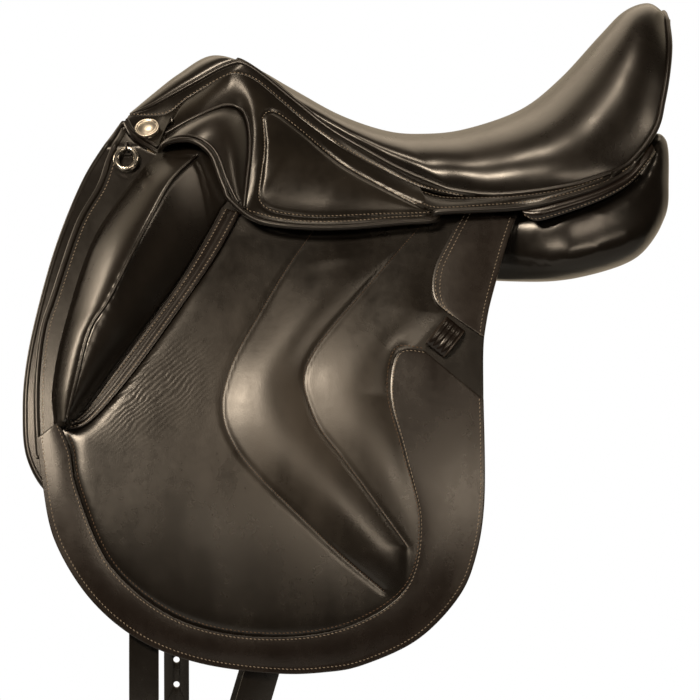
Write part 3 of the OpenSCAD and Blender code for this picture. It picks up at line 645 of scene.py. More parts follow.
xz = loft(smooth(FLAP_FRONT, 200), smooth(FLAP_REAR, 200), 170)
across = np.linspace(0, 1, 171)[:, None]
down = np.linspace(0, 1, 201)[None]
xz[..., 1] -= FLAP_SAG * np.sin(np.pi * across ** 1.4) * (1 - down) ** 4
xz[..., 1] -= CORNER_DROP * (1 - np.exp(-across / 0.035)) * (1 - down) ** 8 * (1 - across)


def lean_in(xz):
    """How far the flap's front corner leans in to the head of the saddle."""
    return LEAN * np.maximum(np.asarray(xz)[..., 1] - LEAN_FROM, 0)


def on_flap(xz, off=0.0):
    return on_side(xz, off - lean_in(xz))


print("flap grid:", xz.shape[0] * xz.shape[1], "points")

# %% [markdown]
# The flap's middle lies between the block's flange, the border and the rear patch. Before it can
# be quilted, each point needs its distance from those lines and from the two seams.

# %% Measure the flap's middle
BORDER_SEAM = [(-238, -106), (-228, -129), (-221, -161), (-193, -221), (-141, -262), (-77, -277),
               (-8, -271), (44, -240), (57, -188), (45, -133), (33, -85), (39, -50), (61, -49)]
PATCH_FRONT = [(95, 67), (81, 41), (71, 21), (68, 4), (71, -9), (79, -17)]
FLANGE_EDGE = [(-92, 64), (-111, 29), (-135, -7), (-178, -67), (-213, -107), (-234, -113)]


def inside(points, outline):
    """True where a point lies within a closed outline."""
    x, z = points[..., 0], points[..., 1]
    odd = np.zeros(x.shape, bool)
    for (x0, z0), (x1, z1) in zip(outline, np.roll(outline, -1, axis=0)):
        crosses = (z0 > z) != (z1 > z)
        odd ^= crosses & (x < x0 + (z - z0) * (x1 - x0) / (z1 - z0 + 1e-9))
    return odd


border_line, patch_line = smooth(BORDER_SEAM, 260), smooth(PATCH_FRONT, 60)
flange_line = smooth(FLANGE_EDGE, 120)
middle = inside(xz, np.vstack([flange_line, border_line, patch_line[::-1]]))
to_seam = away_from(xz, np.vstack([smooth(SEAM_ONE, 220), smooth(SEAM_TWO, 200)]))
to_border = away_from(xz, np.vstack([border_line, patch_line]))
to_flange = away_from(xz, flange_line)
print("flap's middle:", round(100 * float(middle.mean())), "% of its points")

# %% [markdown]
# Two seams part the flap's middle into three leaves. The front one slopes down to the first seam,
# and the other two swell gently between theirs. It lies flat under the skirt. The rider's leg has
# rubbed one oval of it paler, which also paints in the sheen of the light there, and creased
# another, nearer the block. The grooves of the seams get painted shade.

# %% Quilt the flap
LEAF_HEIGHTS, SEAM_DEEP = (3.2, 4.5, 4), 1.1
RUBBED_AND_SHEEN_AT, RUBBED_AND_SHEEN_SIZE = (-35, -105), (95, 85)
CREASED_AT, CREASED_SIZE = (-163, -78), (44, 30)


def line_x(line, z):
    """X of a line that runs steadily downward, at each height."""
    return np.interp(-z, -line[:, 1], line[:, 0])


x, z = xz[..., 0], xz[..., 1]
one, two = line_x(smooth(SEAM_ONE + [(50, -262)], 200), z), line_x(smooth(SEAM_TWO, 200), z)
left = line_x(np.vstack([flange_line[:110], [(-221, -161), (-193, -221), (-141, -262)]]), z)
right = line_x(np.vstack([patch_line, [(52, -49), (33, -85), (45, -133), (57, -188)]]), z)


def leaf(share, height):
    """Section of a leaf from its own seam, at 0, to the next one, at 1."""
    return height * np.sin(np.pi * np.clip(share, 0, 1) ** 1.3)


leaf_a = LEAF_HEIGHTS[0] * np.clip((one - x) / np.maximum(one - left, 1), 0, 1)
leaf_b = leaf((x - one) / np.maximum(two - one, 1), LEAF_HEIGHTS[1] * step(two - one, 5, 60))
leaf_c = leaf((x - two) / np.maximum(right - two, 1), LEAF_HEIGHTS[2] * step(right - two, 10, 90))
quilt = np.where(x < one, leaf_a, np.where(x < two, leaf_b, leaf_c)) - SEAM_DEEP * hump(to_seam, 2)
quilt *= middle * step(z, 50, 5) * (1 - np.exp(-to_border / 4)) * (1 - np.exp(-to_flange / 3))
quilt += 0.5 * middle * ripple(xz, 34, 0.4)
face = on_flap(xz)
face += grid_normals(face) * quilt[..., None]
# Painted sheen, partly: this paler worn oval also stands in for the light's sheen on the flap.
rubbed_and_sheen = oval(xz, RUBBED_AND_SHEEN_AT, RUBBED_AND_SHEEN_SIZE)
creased = oval(xz, CREASED_AT, CREASED_SIZE, slant=0.5)
# The seam mark paints shade into the grooves of the quilted seams.
flap = hide_sheet("flap_hide", face, FLAP_T, edge=1.2, seam=0.8 * hump(to_seam, 1.6),
                  wear=0.9 * rubbed_and_sheen * middle, crease=creased * middle)
settle_pair(flap, FLAP_LEATHER, "flap", ["flap"])

# %% [markdown]
# ## Border, patches and keeper
# A darker border is sewn round the flap's lower edge and widens behind into a patch. A second
# patch lies above it, and a keeper arches between the two for the end of the stirrup leather.
# All three are sheets laid on the same form.

# %% Sew on the border and the patch
BORDER_EDGE = FLAP_FRONT[7:] + FLAP_REAR[:3:-1]
PATCH_REAR = [(137, 59), (128, 33), (116, -8), (112, -26), (110, -38)]
TRIM_OFF, TRIM_T = 3.4, 3


def laid_on(name, inner, outer, n, m, crown):
    """A trim piece that lies on the flap, thinner at its inner edge than in its middle."""
    flat = loft(smooth(inner, n), smooth(outer, n), m)
    share = np.linspace(0, 1, m + 1)[:, None] * np.ones((1, n + 1))
    off = TRIM_OFF + crown * np.sin(np.pi * np.clip(share * 1.2, 0, 1))
    face = on_side(flat, off + 0.25 * ripple(flat, 22, 1))
    # The inner edge is painted darker: painted shade where the border meets the flap.
    return hide_sheet(name, face, TRIM_T, edge=1.0, wear=0.25 * share, seam=hump(share, 0.05))


settle_pair(laid_on("border_hide", BORDER_SEAM, BORDER_EDGE, 320, 30, 0.8), TRIM_LEATHER,
            "flap", ["flap_border"])
settle_pair(laid_on("patch_hide", PATCH_FRONT, PATCH_REAR, 60, 26, 0.6), TRIM_LEATHER,
            "flap", ["flap_patch"])

# %% Arch the keeper
KEEPER_ENDS = np.array([(87, -27), (69, -49)], float)
KEEPER_W, KEEPER_T, KEEPER_RISE = 19, 2.5, 6.5

share = np.linspace(0, 1, 41)[:, None]
spine_xz = KEEPER_ENDS[0] + (KEEPER_ENDS[1] - KEEPER_ENDS[0]) * share
rise = 0.4 + KEEPER_T + KEEPER_RISE * np.sin(np.pi * share[:, 0]) ** 0.5
spine = on_side(spine_xz, rise)
across_way = unit(np.cross(np.gradient(spine, axis=0), OUT))
over = np.linspace(-0.5, 0.5, 31)[:, None]
ridges = 0.55 * np.abs(np.sin(over * 4.5 * np.pi)) ** 0.7
loop = spine[None] + (across_way * KEEPER_W)[None] * over[..., None] + OUT * ridges[..., None]
worn_edge = step(np.abs(over), 0.43, 0.5) * np.ones((1, 41))
keeper = hide_sheet("keeper_loop", loop, KEEPER_T, edge=0.8, wear=2 * worn_edge)
settle_pair(keeper, TRIM_LEATHER, "flap", ["keeper"])

# %% [markdown]
# ## Thigh block
# The block is a tall foam wedge under soft polished leather. A seam follows its ridge, the front
# face bulges to it in a quarter round, and the rear face falls to a stitched flange that lies
# on the flap. The leather puckers finely where the ridge bends.

# %% Shape the block
BLOCK_FRONT = [(-168, 106), (-190, 78), (-215, 35), (-235, -35), (-242, -80), (-240, -104)]
BLOCK_RIDGE = [(-128, 112), (-148, 91), (-164, 60), (-195, -4), (-211, -30), (-221, -69),
               (-229, -102)]
BLOCK_REAR = [(-108, 68), (-124, 38), (-147, 0), (-190, -59), (-217, -97), (-227, -106)]
BLOCK_H, BLOCK_EDGE, BLOCK_PEAK = 42, 1.2, 0.45
BLOCK_SUNK, BLOCK_UNDER = 1.4, -2.4
BLOCK_OFF, PUCKER, RIDGE_DEEP = 0.4, 0.22, 0.9

along = np.linspace(0, 1, 121)
rising = 0.36 + 0.64 * np.sin(np.pi / 2 * np.minimum(along / BLOCK_PEAK, 1))
falling = 1 - 0.45 * np.clip((along - BLOCK_PEAK) / (1 - BLOCK_PEAK), 0, 1) ** 2
crest = BLOCK_EDGE + (BLOCK_H - BLOCK_EDGE) * np.minimum(rising, falling)
block_front, ridge = smooth(BLOCK_FRONT, 120), smooth(BLOCK_RIDGE, 120)
block_rear = smooth(BLOCK_REAR, 120)
apron = inset(block_front, ridge, -4)
u = np.linspace(0, 1, 37)[:, None]
front_rise = BLOCK_EDGE + (crest - BLOCK_EDGE) * np.sin(np.pi / 2 * u)
belly = 1 + 0.9 * step(along, 0.45, 0.75)
rear_rise = BLOCK_EDGE + (crest - BLOCK_EDGE) * (1 - u ** belly) ** 0.8
apron_rise = (BLOCK_EDGE + BLOCK_SUNK) * np.linspace(0, 1, 7)[:-1, None] - BLOCK_SUNK
apron_rise = apron_rise * np.ones((1, 121))
flat = np.concatenate([loft(apron, block_front, 6)[:-1], loft(block_front, ridge, 36),
                       loft(ridge, block_rear, 36)[1:]])
off = np.concatenate([apron_rise, front_rise, rear_rise[1:]]) + BLOCK_OFF
reach = np.abs(np.concatenate([np.linspace(-1.15, -1, 7)[:-1], np.linspace(-1, 1, 73)]))[:, None]
pleat = np.sin(along * 140 + 2 * np.sin(along * 23))[None] * hump(along - 0.6, 0.2)[None]
off = off + PUCKER * pleat * hump(reach - 0.1, 0.25) - RIDGE_DEEP * hump(reach, 0.035)
print("block stands", round(float(off.max()), 1), "mm off the flap")

# %% [markdown]
# The ends of the block are not cut off: the leather runs on from the last section and sinks to the
# flap, above under the skirt's pocket and below at the corner of the border.

# %% Round off its ends and cover it
def run_out(flat, off, end, way, length, count):
    """Extra sections beyond one end of the block, sinking to the flap."""
    share = np.linspace(0, 1, count + 1)[1:]
    flats = [flat[:, end] + np.array(way) * length * t for t in share]
    falls = [math.cos(t * math.pi / 2) ** 0.8 for t in share]
    offs = [(off[:, end] + BLOCK_SUNK) * fall - BLOCK_SUNK for fall in falls]
    return np.stack(flats, 1), np.stack(offs, 1)


up_flat, up_off = run_out(flat, off, 0, (0.66, 0.75), 26, 14)
low_flat, low_off = run_out(flat, off, -1, (-0.1, -0.99), 9, 6)
flat = np.concatenate([up_flat[:, ::-1], flat, low_flat], 1)
off = np.concatenate([up_off[:, ::-1], off, low_off], 1)
over = np.ones((1, flat.shape[1]))
# The seam mark paints shade along the groove of the ridge seam.
block = slab("thigh_block_hide", on_side(flat, off), on_side(flat, BLOCK_UNDER), edge=0.8,
             seam=0.8 * hump(reach, 0.03) * over, wear=0.3 * hump(reach - 0.4, 0.25) * over)
for side in settle_pair(block, SEAT_LEATHER, "flap", ["thigh_block"]):
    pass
ridge_line = on_side(ridge, crest + 0.7)

# %% Lay the flange behind it
GROOVE = np.array((0, 0.3, 0.2, -0.3, -0.8, -0.3, 0.2, 0.3, 0))[:, None]

flange_seam = block_rear + (flange_line - block_rear) * 0.1
face = on_side(loft(flange_seam, flange_line, 8), TRIM_OFF + GROOVE)
flange = hide_sheet("flange_hide", face, TRIM_T)
settle_pair(flange, TRIM_LEATHER, "flap", ["block_flange"])

# %% [markdown]
# ## Skirt
# A narrow band hangs from the welt, and the wide skirt is sewn below it along a bend. The skirt's
# front is cut away for the pocket over the stirrup bar, which stands off the flap. A piping
# closes the lower edge, and a raised cord marks the seam between the skirt and its pocket.

# %% Draw the skirt's lines
BEND = [(-191, 45, 147), (-160, 55, 147), (-139, 58, 162), (-109, 62, 179), (-98, 63, 182),
        (-82, 65, 177), (-61, 70, 160), (-40, 75, 142), (-18, 82, 126), (-1, 90, 115),
        (29, 104, 99), (58, 119, 86), (91, 131, 78)]
POCKET_SEAM = [(-157, 80, 130), (-143, 81, 138), (-127, 82, 146), (-106, 80, 154),
               (-93, 82, 151), (-86, 92, 138), (-84, 108, 116), (-86, 126, 90)]
POCKET_EDGE = [(-151, 124), (-138, 126), (-125, 123), (-113, 112), (-105, 92), (-97, 75),
               (-91, 68)]
FOLD = [(-161, 97, 115), (-157, 104, 121)]
POCKET_STAND = 16 * np.array((0.5, 1, 1.2, 1.1, 0.7, 0.3, 0.1))
SKIRT_EDGE = [(-79, 61), (-50, 55), (-8, 54), (41, 58), (68, 60)]
SKIRT_T, SKIRT_GAP, SKIRT_FULL = 3, 7, 5
FLAP_LIFT = math.radians(12)
FLAP_HINGE = [(-196, 124), (141, 66)]


def skirt_low(xz, more=0):
    """A point of the skirt's edge, clear of the flap when that is lifted."""
    x, z = np.array(xz, float).T
    (x0, z0), (x1, z1) = FLAP_HINGE
    hinge_z = z0 + (z1 - z0) * (x - x0) / (x1 - x0)
    lift = np.maximum((hinge_z - z) * math.tan(FLAP_LIFT), 0)
    return np.column_stack([x, side_y(x, z) + SKIRT_T + SKIRT_GAP + lift + more, z])


pocket_seam = np.vstack([POCKET_SEAM, skirt_low([(-88, 66)], 1)])
pocket_edge = np.vstack([FOLD, skirt_low(POCKET_EDGE, POCKET_STAND)])
skirt_edge = skirt_low(SKIRT_EDGE)

# %% Cut the band and draw the skirt's face
TRIANGLE = [(-74, 144), (-70, 149), (-61, 148), (-42, 134), (-8, 106), (25, 87), (54, 72),
            (66, 67), (62, 64), (25, 63), (-25, 61), (-58, 64), (-71, 69), (-76, 78), (-74, 99),
            (-72, 120), (-74, 144)]
BAND_HUNG = 1.6

top = welt_path(60)[1:33] + np.array((0, 0.75, -0.65)) * BAND_HUNG
band = loft(smooth(top, 160), smooth(BEND, 160), 10)
swell = arch(10)[:, None, None] * (0, 0.5, 0.6)
settle_pair(hide_sheet("band_hide", band + swell, SKIRT_T), FLAP_LEATHER,
            stands_for=["skirt_band"])

high = smooth(BEND[2:12], 150)
low = smooth(np.vstack([pocket_seam, skirt_edge]), 150)
share = np.linspace(0, 1, 61)[:, None]
full = SKIRT_FULL * np.clip(np.linalg.norm(high - low, axis=1) / 90, 0.2, 1)
rounded = np.sin(np.pi * share)[..., None] * np.array((0, 0.7, 0.7))
skirt_face = loft(high, low, 60) + rounded * full[None, :, None]
three = away_from(skirt_face[..., [0, 2]], smooth(TRIANGLE, 260))
pressed = 1.3 * hump(three, 2) + 0.7 * hump(three, 7)
skirt_face -= grid_normals(skirt_face) * pressed[..., None]

# %% [markdown]
# The front corner is one with the skirt in leather, but it stays with the saddle when the skirt is
# lifted. Both are cut from one surface: the skirt's front edge is thinned, and the corner runs on
# beneath it, so that no gap shows.

# %% Cut the skirt and its front corner
FRONT_EDGE = [(-193, 55, 142), (-187, 66, 132), (-178, 76, 125), (-168, 87, 119), (-161, 96, 115)]
LAP, THINNED, THIN = 9, 20, 0.5
JOIN = 60

corner_edge = smooth(FRONT_EDGE + [(-159, 88, 122), POCKET_SEAM[0]], JOIN)
corner = loft(smooth(BEND[:3], JOIN), corner_edge, 60)
corner = corner + rounded * (full[0] * step(np.arange(JOIN + 1), 20, JOIN))[None, :, None]
whole = np.concatenate([corner[:, :-1], skirt_face], 1)
out = grid_normals(whole)
column = np.arange(whole.shape[1])
sunk = THIN * step(column, JOIN - 4, JOIN) + 2.9 * step(column, JOIN, JOIN + LAP)
front_part = (whole - out * sunk[None, :, None])[:, :JOIN + LAP]
settle_pair(hide_sheet("corner_hide", front_part, SKIRT_T), SKIRT_LEATHER,
            stands_for=["skirt_front"])
thick = THIN + (SKIRT_T - THIN) * step(column, JOIN, JOIN + THINNED)
under = whole - out * thick[None, :, None]
# The seam mark paints shade into the groove of the pressed triangle.
skirt = slab("skirt_hide", whole[:, JOIN:], under[:, JOIN:], edge=0.25,
             seam=0.7 * hump(three, 1.7), wear=0.3 * hump(share - 0.45, 0.35) * np.ones((1, 151)))
settle_pair(skirt, SKIRT_LEATHER, "skirt", ["skirt"])

# %% [markdown]
# Under the skirt a plain leather cover runs from the band down behind the flap's top. It closes
# the side of the tree, behind the stirrup bar, when the skirt is lifted, and leaves room for the
# bar's catch to turn in.

# %% Cover the tree's side
COVER_LOW = [(-150, 110), (-125, 80), (-98, 58), (-50, 52), (0, 50), (50, 56), (90, 62)]
COVER_IN, CATCH_ROOM = 20, 8
CATCH_AT = (-40, 100)

behind_band = smooth(band[4, ::8], 120) + (0, -4, -3)
behind_bend = smooth(BEND, 120) + (0, -7, -4)
cover_low = smooth(on_side(COVER_LOW, -COVER_IN), 120)
tree_side = np.concatenate([loft(behind_band, behind_bend, 4),
                            loft(behind_bend, cover_low, 20)[1:]])
tree_side[..., 1] -= CATCH_ROOM * oval(tree_side[..., [0, 2]], CATCH_AT, (35, 25))
settle_pair(hide_sheet("tree_cover", tree_side, COVER_T), FLAP_LEATHER)

# %% [markdown]
# The pocket hangs between its seam with the skirt and its own free edge, and bulges over the bar.

# %% Cut the pocket
seam, edge = smooth(pocket_seam, 90), smooth(pocket_edge, 90)
flat = loft(seam + (edge - seam) * 0.04, edge, 30)
bulge = arch(30)[:, None] * arch(90)[None]
pocket = hide_sheet("pocket_hide", flat + np.array((0, 5, 3)) * bulge[..., None], SKIRT_T,
                    wear=0.3 * bulge)
settle_pair(pocket, SEAT_LEATHER, "skirt", ["bar_pocket"])

# %% Add piping and cord
PIPING_D, PIPING_OUT = 4.6, 3.0
PIPING_END = [(73, 147, 62), (78, 147, 66)]
RAISED = np.array((0, 1.2, 0.6))

start = inset(edge, seam, -PIPING_OUT)[3:-6]
under_edge = skirt_edge + unit(np.array((0, 0.5, -0.8))) * PIPING_OUT
line = smooth(np.vstack([start[::8], under_edge, PIPING_END]), 200)
cord_pair("skirt_piping_cord", line, PIPING_D, body="skirt", stands_for=["skirt_piping"])
roll = inset(edge, seam, 2.6)[1:-4] + RAISED
cord_pair("pocket_roll", smooth(roll, 90), 3.0, 8, "skirt")
cord_pair("pocket_cord", smooth(seam + RAISED, 90), 3.4, body="skirt")
edge, inner = smooth(FRONT_EDGE, 60), smooth(BEND[:2], 60)
cord_pair("corner_piping", edge + (0, 1.2, -1.2), 4.4)
cord_pair("corner_roll", inset(edge, inner, 3.4)[2:-3] + (0, 1.0, 0.8), 3, 8)
cord_pair("ridge_cord", ridge_line, 2.4, 8, "flap")
front = smooth(FLAP_FRONT, 200)[:100]
cord_pair("flap_binding", on_flap(front, -0.6), 5.4, 12, "flap")

# %% [markdown]
# ## Rear band and facing
# Behind the skirt a band covers the edge of the tree and ends in a thick piping. Under it a
# rounded strip finishes the top of the panel.

# %% Cut the rear band and the facing strip
BAND_EDGE = [(74, 151, 66), (113, 154, 68), (142, 154, 70), (164, 155, 74), (205, 150, 86),
             (228, 142, 97), (236, 137, 104)]
STRIP_TOP = [(142, 155, 66), (168, 157, 71), (205, 152, 83), (231, 144, 96), (246, 133, 113),
             (252, 126, 121)]
STRIP_LOW = [(145, 156, 61), (153, 157, 57), (168, 158, 60), (205, 155, 73), (231, 148, 87),
             (247, 138, 104), (255, 128, 113)]
UNDER_SKIRT_TOP = [(44, 109, 90), (62, 118, 82), (84, 126, 77)]
UNDER_SKIRT_LOW = [(46, 134, 72), (60, 143, 69)]
UNDER_CANTLE = [(245, 131, 113), (249, 125, 120)]
HUNG, TUCKED_IN = np.array((0.2, 0.75, -0.65)) * 2.2, np.array((-2, -6, 2))

along_welt = welt_path(60)[34:50]
tuck = step(along_welt[:, :1], 222, 238)
band_top = np.vstack([UNDER_SKIRT_TOP, along_welt + HUNG * (1 - tuck) + TUCKED_IN * tuck])
band_edge = smooth(UNDER_SKIRT_LOW + BAND_EDGE + UNDER_CANTLE, 150)
rear = loft(smooth(band_top, 150), band_edge, 24)
swell = arch(24)[:, None, None] * (0, 0.8, 1.6)
settle_pair(hide_sheet("rear_band_hide", rear + swell, SKIRT_T, out=(0, 0.6, 0.8)), FLAP_LEATHER,
            stands_for=["rear_band"])
piping = smooth([(70, 149, 63)] + BAND_EDGE + [(238, 136, 109)], 120)
cord_pair("rear_piping", piping + (0, 1.2, -1.6), 5.2, 12)

strip = loft(smooth(STRIP_TOP, 90), smooth(STRIP_LOW, 90), 14)
swell = np.sin(np.linspace(0.1, np.pi - 0.1, 15))[:, None] * step(np.arange(91), -6, 10)[None]
strip = strip + swell[..., None] * (0, 3.4, 0.6)
settle_pair(hide_sheet("facing_strip", strip, TRIM_T, edge=1.2), TRIM_LEATHER,
            stands_for=["panel_facing"])

# %% [markdown]
# The back of the cantle is a shallow shell under the welt. It follows the seat's edge on both
# sides and bulges a little to the rear between them.

# %% Close the back of the cantle
edge = smooth(SEAT_EDGE, 160)[124:]
turn = np.linspace(-1, 1, 41)[:, None]
mid = 1 - turn ** 2
back = np.stack([edge[:, 0] + 1.4 + 6 * mid, edge[:, 1] * turn * 0.97,
                 edge[:, 2] - 3 + 5 * mid * step(edge[:, 2], 190, 230)], -1)
shell = hide_sheet("cantle_shell", back, SKIRT_T, out=(1, 0, 0))
settle(shell, FLAP_LEATHER, "saddle", ["cantle_back"])
print("cantle back:", len(shell.data.polygons), "faces")

# %% [markdown]
# ## Panels
# The panels are leather stuffed with wool. Each is drawn as a plain closed form, remeshed evenly
# and then filled by a short cloth simulation under inner pressure. The movement is capped, so that
# the stuffing rounds the form without pushing it out of place. The sweat panels, which are
# thinner, are drawn full and are not simulated.

# %% Stuff a form
PRESSURE, STIFF, BENDING, MOMENTS = 4, 25, 2, 20


def soften(obj):
    modify(obj, "SUBSURF", levels=1, render_levels=1)
    obj.data.shade_smooth()


def stuff(obj, voxel, most):
    """Remeshes a form evenly and fills it, moving no point further than most."""
    modify(obj, "REMESH", mode="VOXEL", voxel_size=voxel * MM)
    modify(obj, "SMOOTH", factor=0.5, iterations=3)
    before = places_of(obj)
    pick(obj)
    bpy.ops.object.modifier_add(type="CLOTH")
    cloth = obj.modifiers[-1].settings
    cloth.use_pressure = True
    cloth.uniform_pressure_force = PRESSURE
    cloth.effector_weights.gravity = 0
    cloth.tension_stiffness = cloth.compression_stiffness = STIFF
    cloth.bending_stiffness = BENDING
    for moment in range(1, MOMENTS + 1):
        scene.frame_set(moment)
    bpy.ops.object.modifier_apply(modifier=obj.modifiers[-1].name)
    scene.frame_set(1)
    move = places_of(obj) - before
    far = np.linalg.norm(move, axis=1, keepdims=True)
    move_to(obj, before + move * np.minimum(1, most * MM / np.maximum(far, 1e-9)))
    soften(obj)
    print(obj.name, "moved at most", round(float(far.max()) / MM, 1), "mm")


# %% [markdown]
# A panel is drawn by sections from front to rear. Each gives its place as X, Y and Z, its half
# width, its half height and the angle at which it leans.

# %% Stuff the panels
PANEL_SECTIONS = [(-184, 44, 91, 38, 8, 62), (-165, 46, 87, 41, 9, 62), (-125, 50, 77, 43, 11, 57),
                  (-60, 66, 60, 42, 23, 36), (0, 74, 48, 41, 31, 20), (70, 83, 44, 49, 31, 9),
                  (135, 88, 42, 53, 34, 4), (185, 94, 46, 59, 37, 1), (235, 91, 64, 54, 42, -2),
                  (256, 89, 87, 42, 46, -3), (267, 88, 95, 26, 30, 0)]
PANEL_FULL, PANEL_HEEL = 2.6, 20


def rounded_square(wave):
    return np.sign(wave) * np.abs(wave) ** (2 / PANEL_FULL)


turn = np.linspace(0, 2 * np.pi, 48, endpoint=False)[None]
x, y, z, wide, tall, lean = np.moveaxis(smooth(PANEL_SECTIONS, 70)[:, None, :], -1, 0)
wide, tall = wide * rounded_square(np.cos(turn)), tall * rounded_square(np.sin(turn))
lean = np.radians(lean)
heel = PANEL_HEEL * step(x, 120, 175) * np.cos(turn).clip(0) * (-np.sin(turn)).clip(0)
rings = np.stack([x + 0 * turn, y + heel + wide * np.cos(lean) + tall * np.sin(lean),
                  z - wide * np.sin(lean) + tall * np.cos(lean)], -1)
panel = ringed("panel_hide", rings)
stuff(panel, 5, 2.5)
for side in settle_pair(panel, PANEL_LEATHER, stands_for=["panel"]):
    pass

# %% Shape the sweat panels
SWEAT_FRONT = [(-195, 140), (-204, 125), (-224, 91), (-243, 41), (-256, -9), (-265, -58),
               (-267, -98), (-262, -138), (-240, -168), (-195, -186)]
SWEAT_REAR = [(-120, 60), (-50, 38), (-34, 0), (-28, -40), (-34, -80), (-55, -130), (-110, -180)]
SWEAT_OUT, SWEAT_T = 14.7, 13

flat = loft(smooth(SWEAT_FRONT, 100), smooth(SWEAT_REAR, 100), 60)
full = SWEAT_T * (0.4 + 0.6 * (arch(60)[:, None] * arch(100)[None]))
lean = SWEAT_OUT + lean_in(flat)
sweat = slab("sweat_hide", on_side(flat, -lean), on_side(flat, -lean - full), edge=2)
soften(sweat)
for side in settle_pair(sweat, PANEL_LEATHER, stands_for=["sweat_panel"]):
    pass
rim = on_side(flat[0], -lean[0] - 2.6)
cord_pair("sweat_binding", rim, 6, 12)

# %% [markdown]
# ## Straps and plain pieces
# The girth straps and their webs, the head's facing, the gullet lining and what lies inside the
# seat already have their final form in the frame. A copy of each is merged, so that its facets
# share their corners, and gets rounded edges; the copy then stands for the frame's own piece.

# %% Dress copies of the plain pieces
SHARP = 40
MERGE = 0.00002


def dressed(node, finish, body, edge):
    """A merged, rounded copy of a frame node, in its place."""
    copy = nodes[node].copy()
    copy.data = nodes[node].data.copy()
    copy.name = copy.data.name = node + "_dressed"
    scene.collection.objects.link(copy)
    pick(copy)
    bpy.ops.object.mode_set(mode="EDIT")
    bpy.ops.mesh.select_all(action="SELECT")
    bpy.ops.mesh.remove_doubles(threshold=MERGE)
    bpy.ops.mesh.normals_make_consistent(inside=False)
    bpy.ops.object.mode_set(mode="OBJECT")
    if "custom_normal" in copy.data.attributes:
        copy.data.attributes.remove(copy.data.attributes["custom_normal"])
    round_edges(copy, edge, SHARP)
    bpy.ops.object.shade_smooth_by_angle(angle=math.radians(SHARP))
    settle(copy, finish, body, [node])


for side in ("left", "right"):
    for strap in ("front", "rear"):
        dressed(f"billet_{strap}_{side}", FLAP_LEATHER, f"{side}_{strap}_billet", 0.7)
        dressed(f"girth_web_{strap}_{side}", WEBBING, "saddle", 0.4)
for node, finish, slot in (("head_facing", TRIM_LEATHER, "trim_leather"),
                           ("gullet_lining", PANEL_LEATHER, "panel_leather"),
                           ("seat_foam", FOAM, "filling"), ("tree", BEECH, "tree_wood"),
                           ("seat_webbing", WEBBING, "webbing")):
    dressed(node, finish, "saddle", 0.5)

# %% [markdown]
# ## Metal
# The stirrup bars, their catches and the head plate are forged and are exact in the frame, so they
# only take their finish, and so does the leather loop that holds the ring. The head nail is a
# turned disc with a rim round a bare, domed face, and the breastplate ring is cast, thicker at its
# sides than above and below, with a tall opening. Both start as primitives, are shaped flat at
# the origin and are then set where the frame has them.

# %% Turn the nail
NAIL_TURN = (-0.105, 0.727, 0.678)
NAIL_R, NAIL_DEEP, RIM, DISH = 10.4, 4, 1.5, 0.9
DOME = [(1.8, 0.7), (2.0, 0.5), (2.0, 0.25)]


def centre_of(node):
    low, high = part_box(node)
    return (np.array(low) + np.array(high)) / 2 / MM


def set_in_place(piece, centre, normal):
    """Turns a flat piece to face along a normal, upright, and moves it to its place."""
    n = unit(np.asarray(normal, float))
    up = unit(np.array((0, 0, 1.0)) - n * n[2])
    turn = np.stack([np.cross(up, n), up, n])
    move_to(piece, places_of(piece) @ turn + np.asarray(centre) * MM)


bpy.ops.object.select_all(action="DESELECT")
bpy.ops.mesh.primitive_cylinder_add(vertices=48, radius=NAIL_R * MM, depth=NAIL_DEEP * MM)
nail = bpy.context.object
nail.name = "nail_disc"
bpy.ops.object.mode_set(mode="EDIT")
bpy.ops.mesh.select_all(action="DESELECT")
bpy.ops.object.mode_set(mode="OBJECT")
for face in nail.data.polygons:
    face.select = face.normal.z > 0.9
bpy.ops.object.mode_set(mode="EDIT")
bpy.ops.mesh.inset(thickness=RIM * MM)
bpy.ops.mesh.inset(thickness=DISH * MM)
bpy.ops.transform.translate(value=(0, 0, -DISH * MM))
for thickness, rise in DOME:
    bpy.ops.mesh.inset(thickness=thickness * MM)
    bpy.ops.transform.translate(value=(0, 0, rise * MM))
bpy.ops.object.mode_set(mode="OBJECT")
round_edges(nail, 0.5, 25, 3)
set_in_place(nail, centre_of("head_nail_right"), NAIL_TURN)
settle_pair(nail, WORN_NICKEL, stands_for=["head_nail"])

# %% Cast the ring
RING_R, WIRE_R = 9, 2.3
RING_TALL = np.array((8.3, 9.5))
CAST_THIN, CAST_MORE = 1.75, 1.15
RING_AT = (-188, 117)

bpy.ops.object.select_all(action="DESELECT")
bpy.ops.mesh.primitive_torus_add(major_segments=72, minor_segments=18, major_radius=RING_R * MM,
                                 minor_radius=WIRE_R * MM)
ring = bpy.context.object
ring.name = "ring_cast"
flat = places_of(ring)
turn = np.arctan2(flat[:, 1], flat[:, 0])[:, None]
way = np.hstack([np.cos(turn), np.sin(turn)])
out = (np.linalg.norm(flat[:, :2], axis=1, keepdims=True) / MM - RING_R) / WIRE_R
wide = CAST_THIN + CAST_MORE * np.cos(turn) ** 2
flat[:, :2] = way * (RING_TALL + out * wide) * MM
move_to(ring, flat)
ring.data.shade_smooth()
x, z = RING_AT
slope = (side_y(x, z - 1) - side_y(x, z + 1)) / 2
set_in_place(ring, centre_of("dee_ring_right") + (0, 0.6, -1.6), (-0.076, 1, slope))
settle_pair(ring, NICKEL, "ring", ["dee_ring"])

# %% Finish what stays from the frame
for name, node in nodes.items():
    steel = name.startswith(("head_plate", "stirrup_bar", "bar_catch"))
    node.data.materials.clear()
    node.data.materials.append(STEEL if steel else EDGE_LEATHER)
print("finishes on", len(nodes), "frame nodes, most of them hidden")

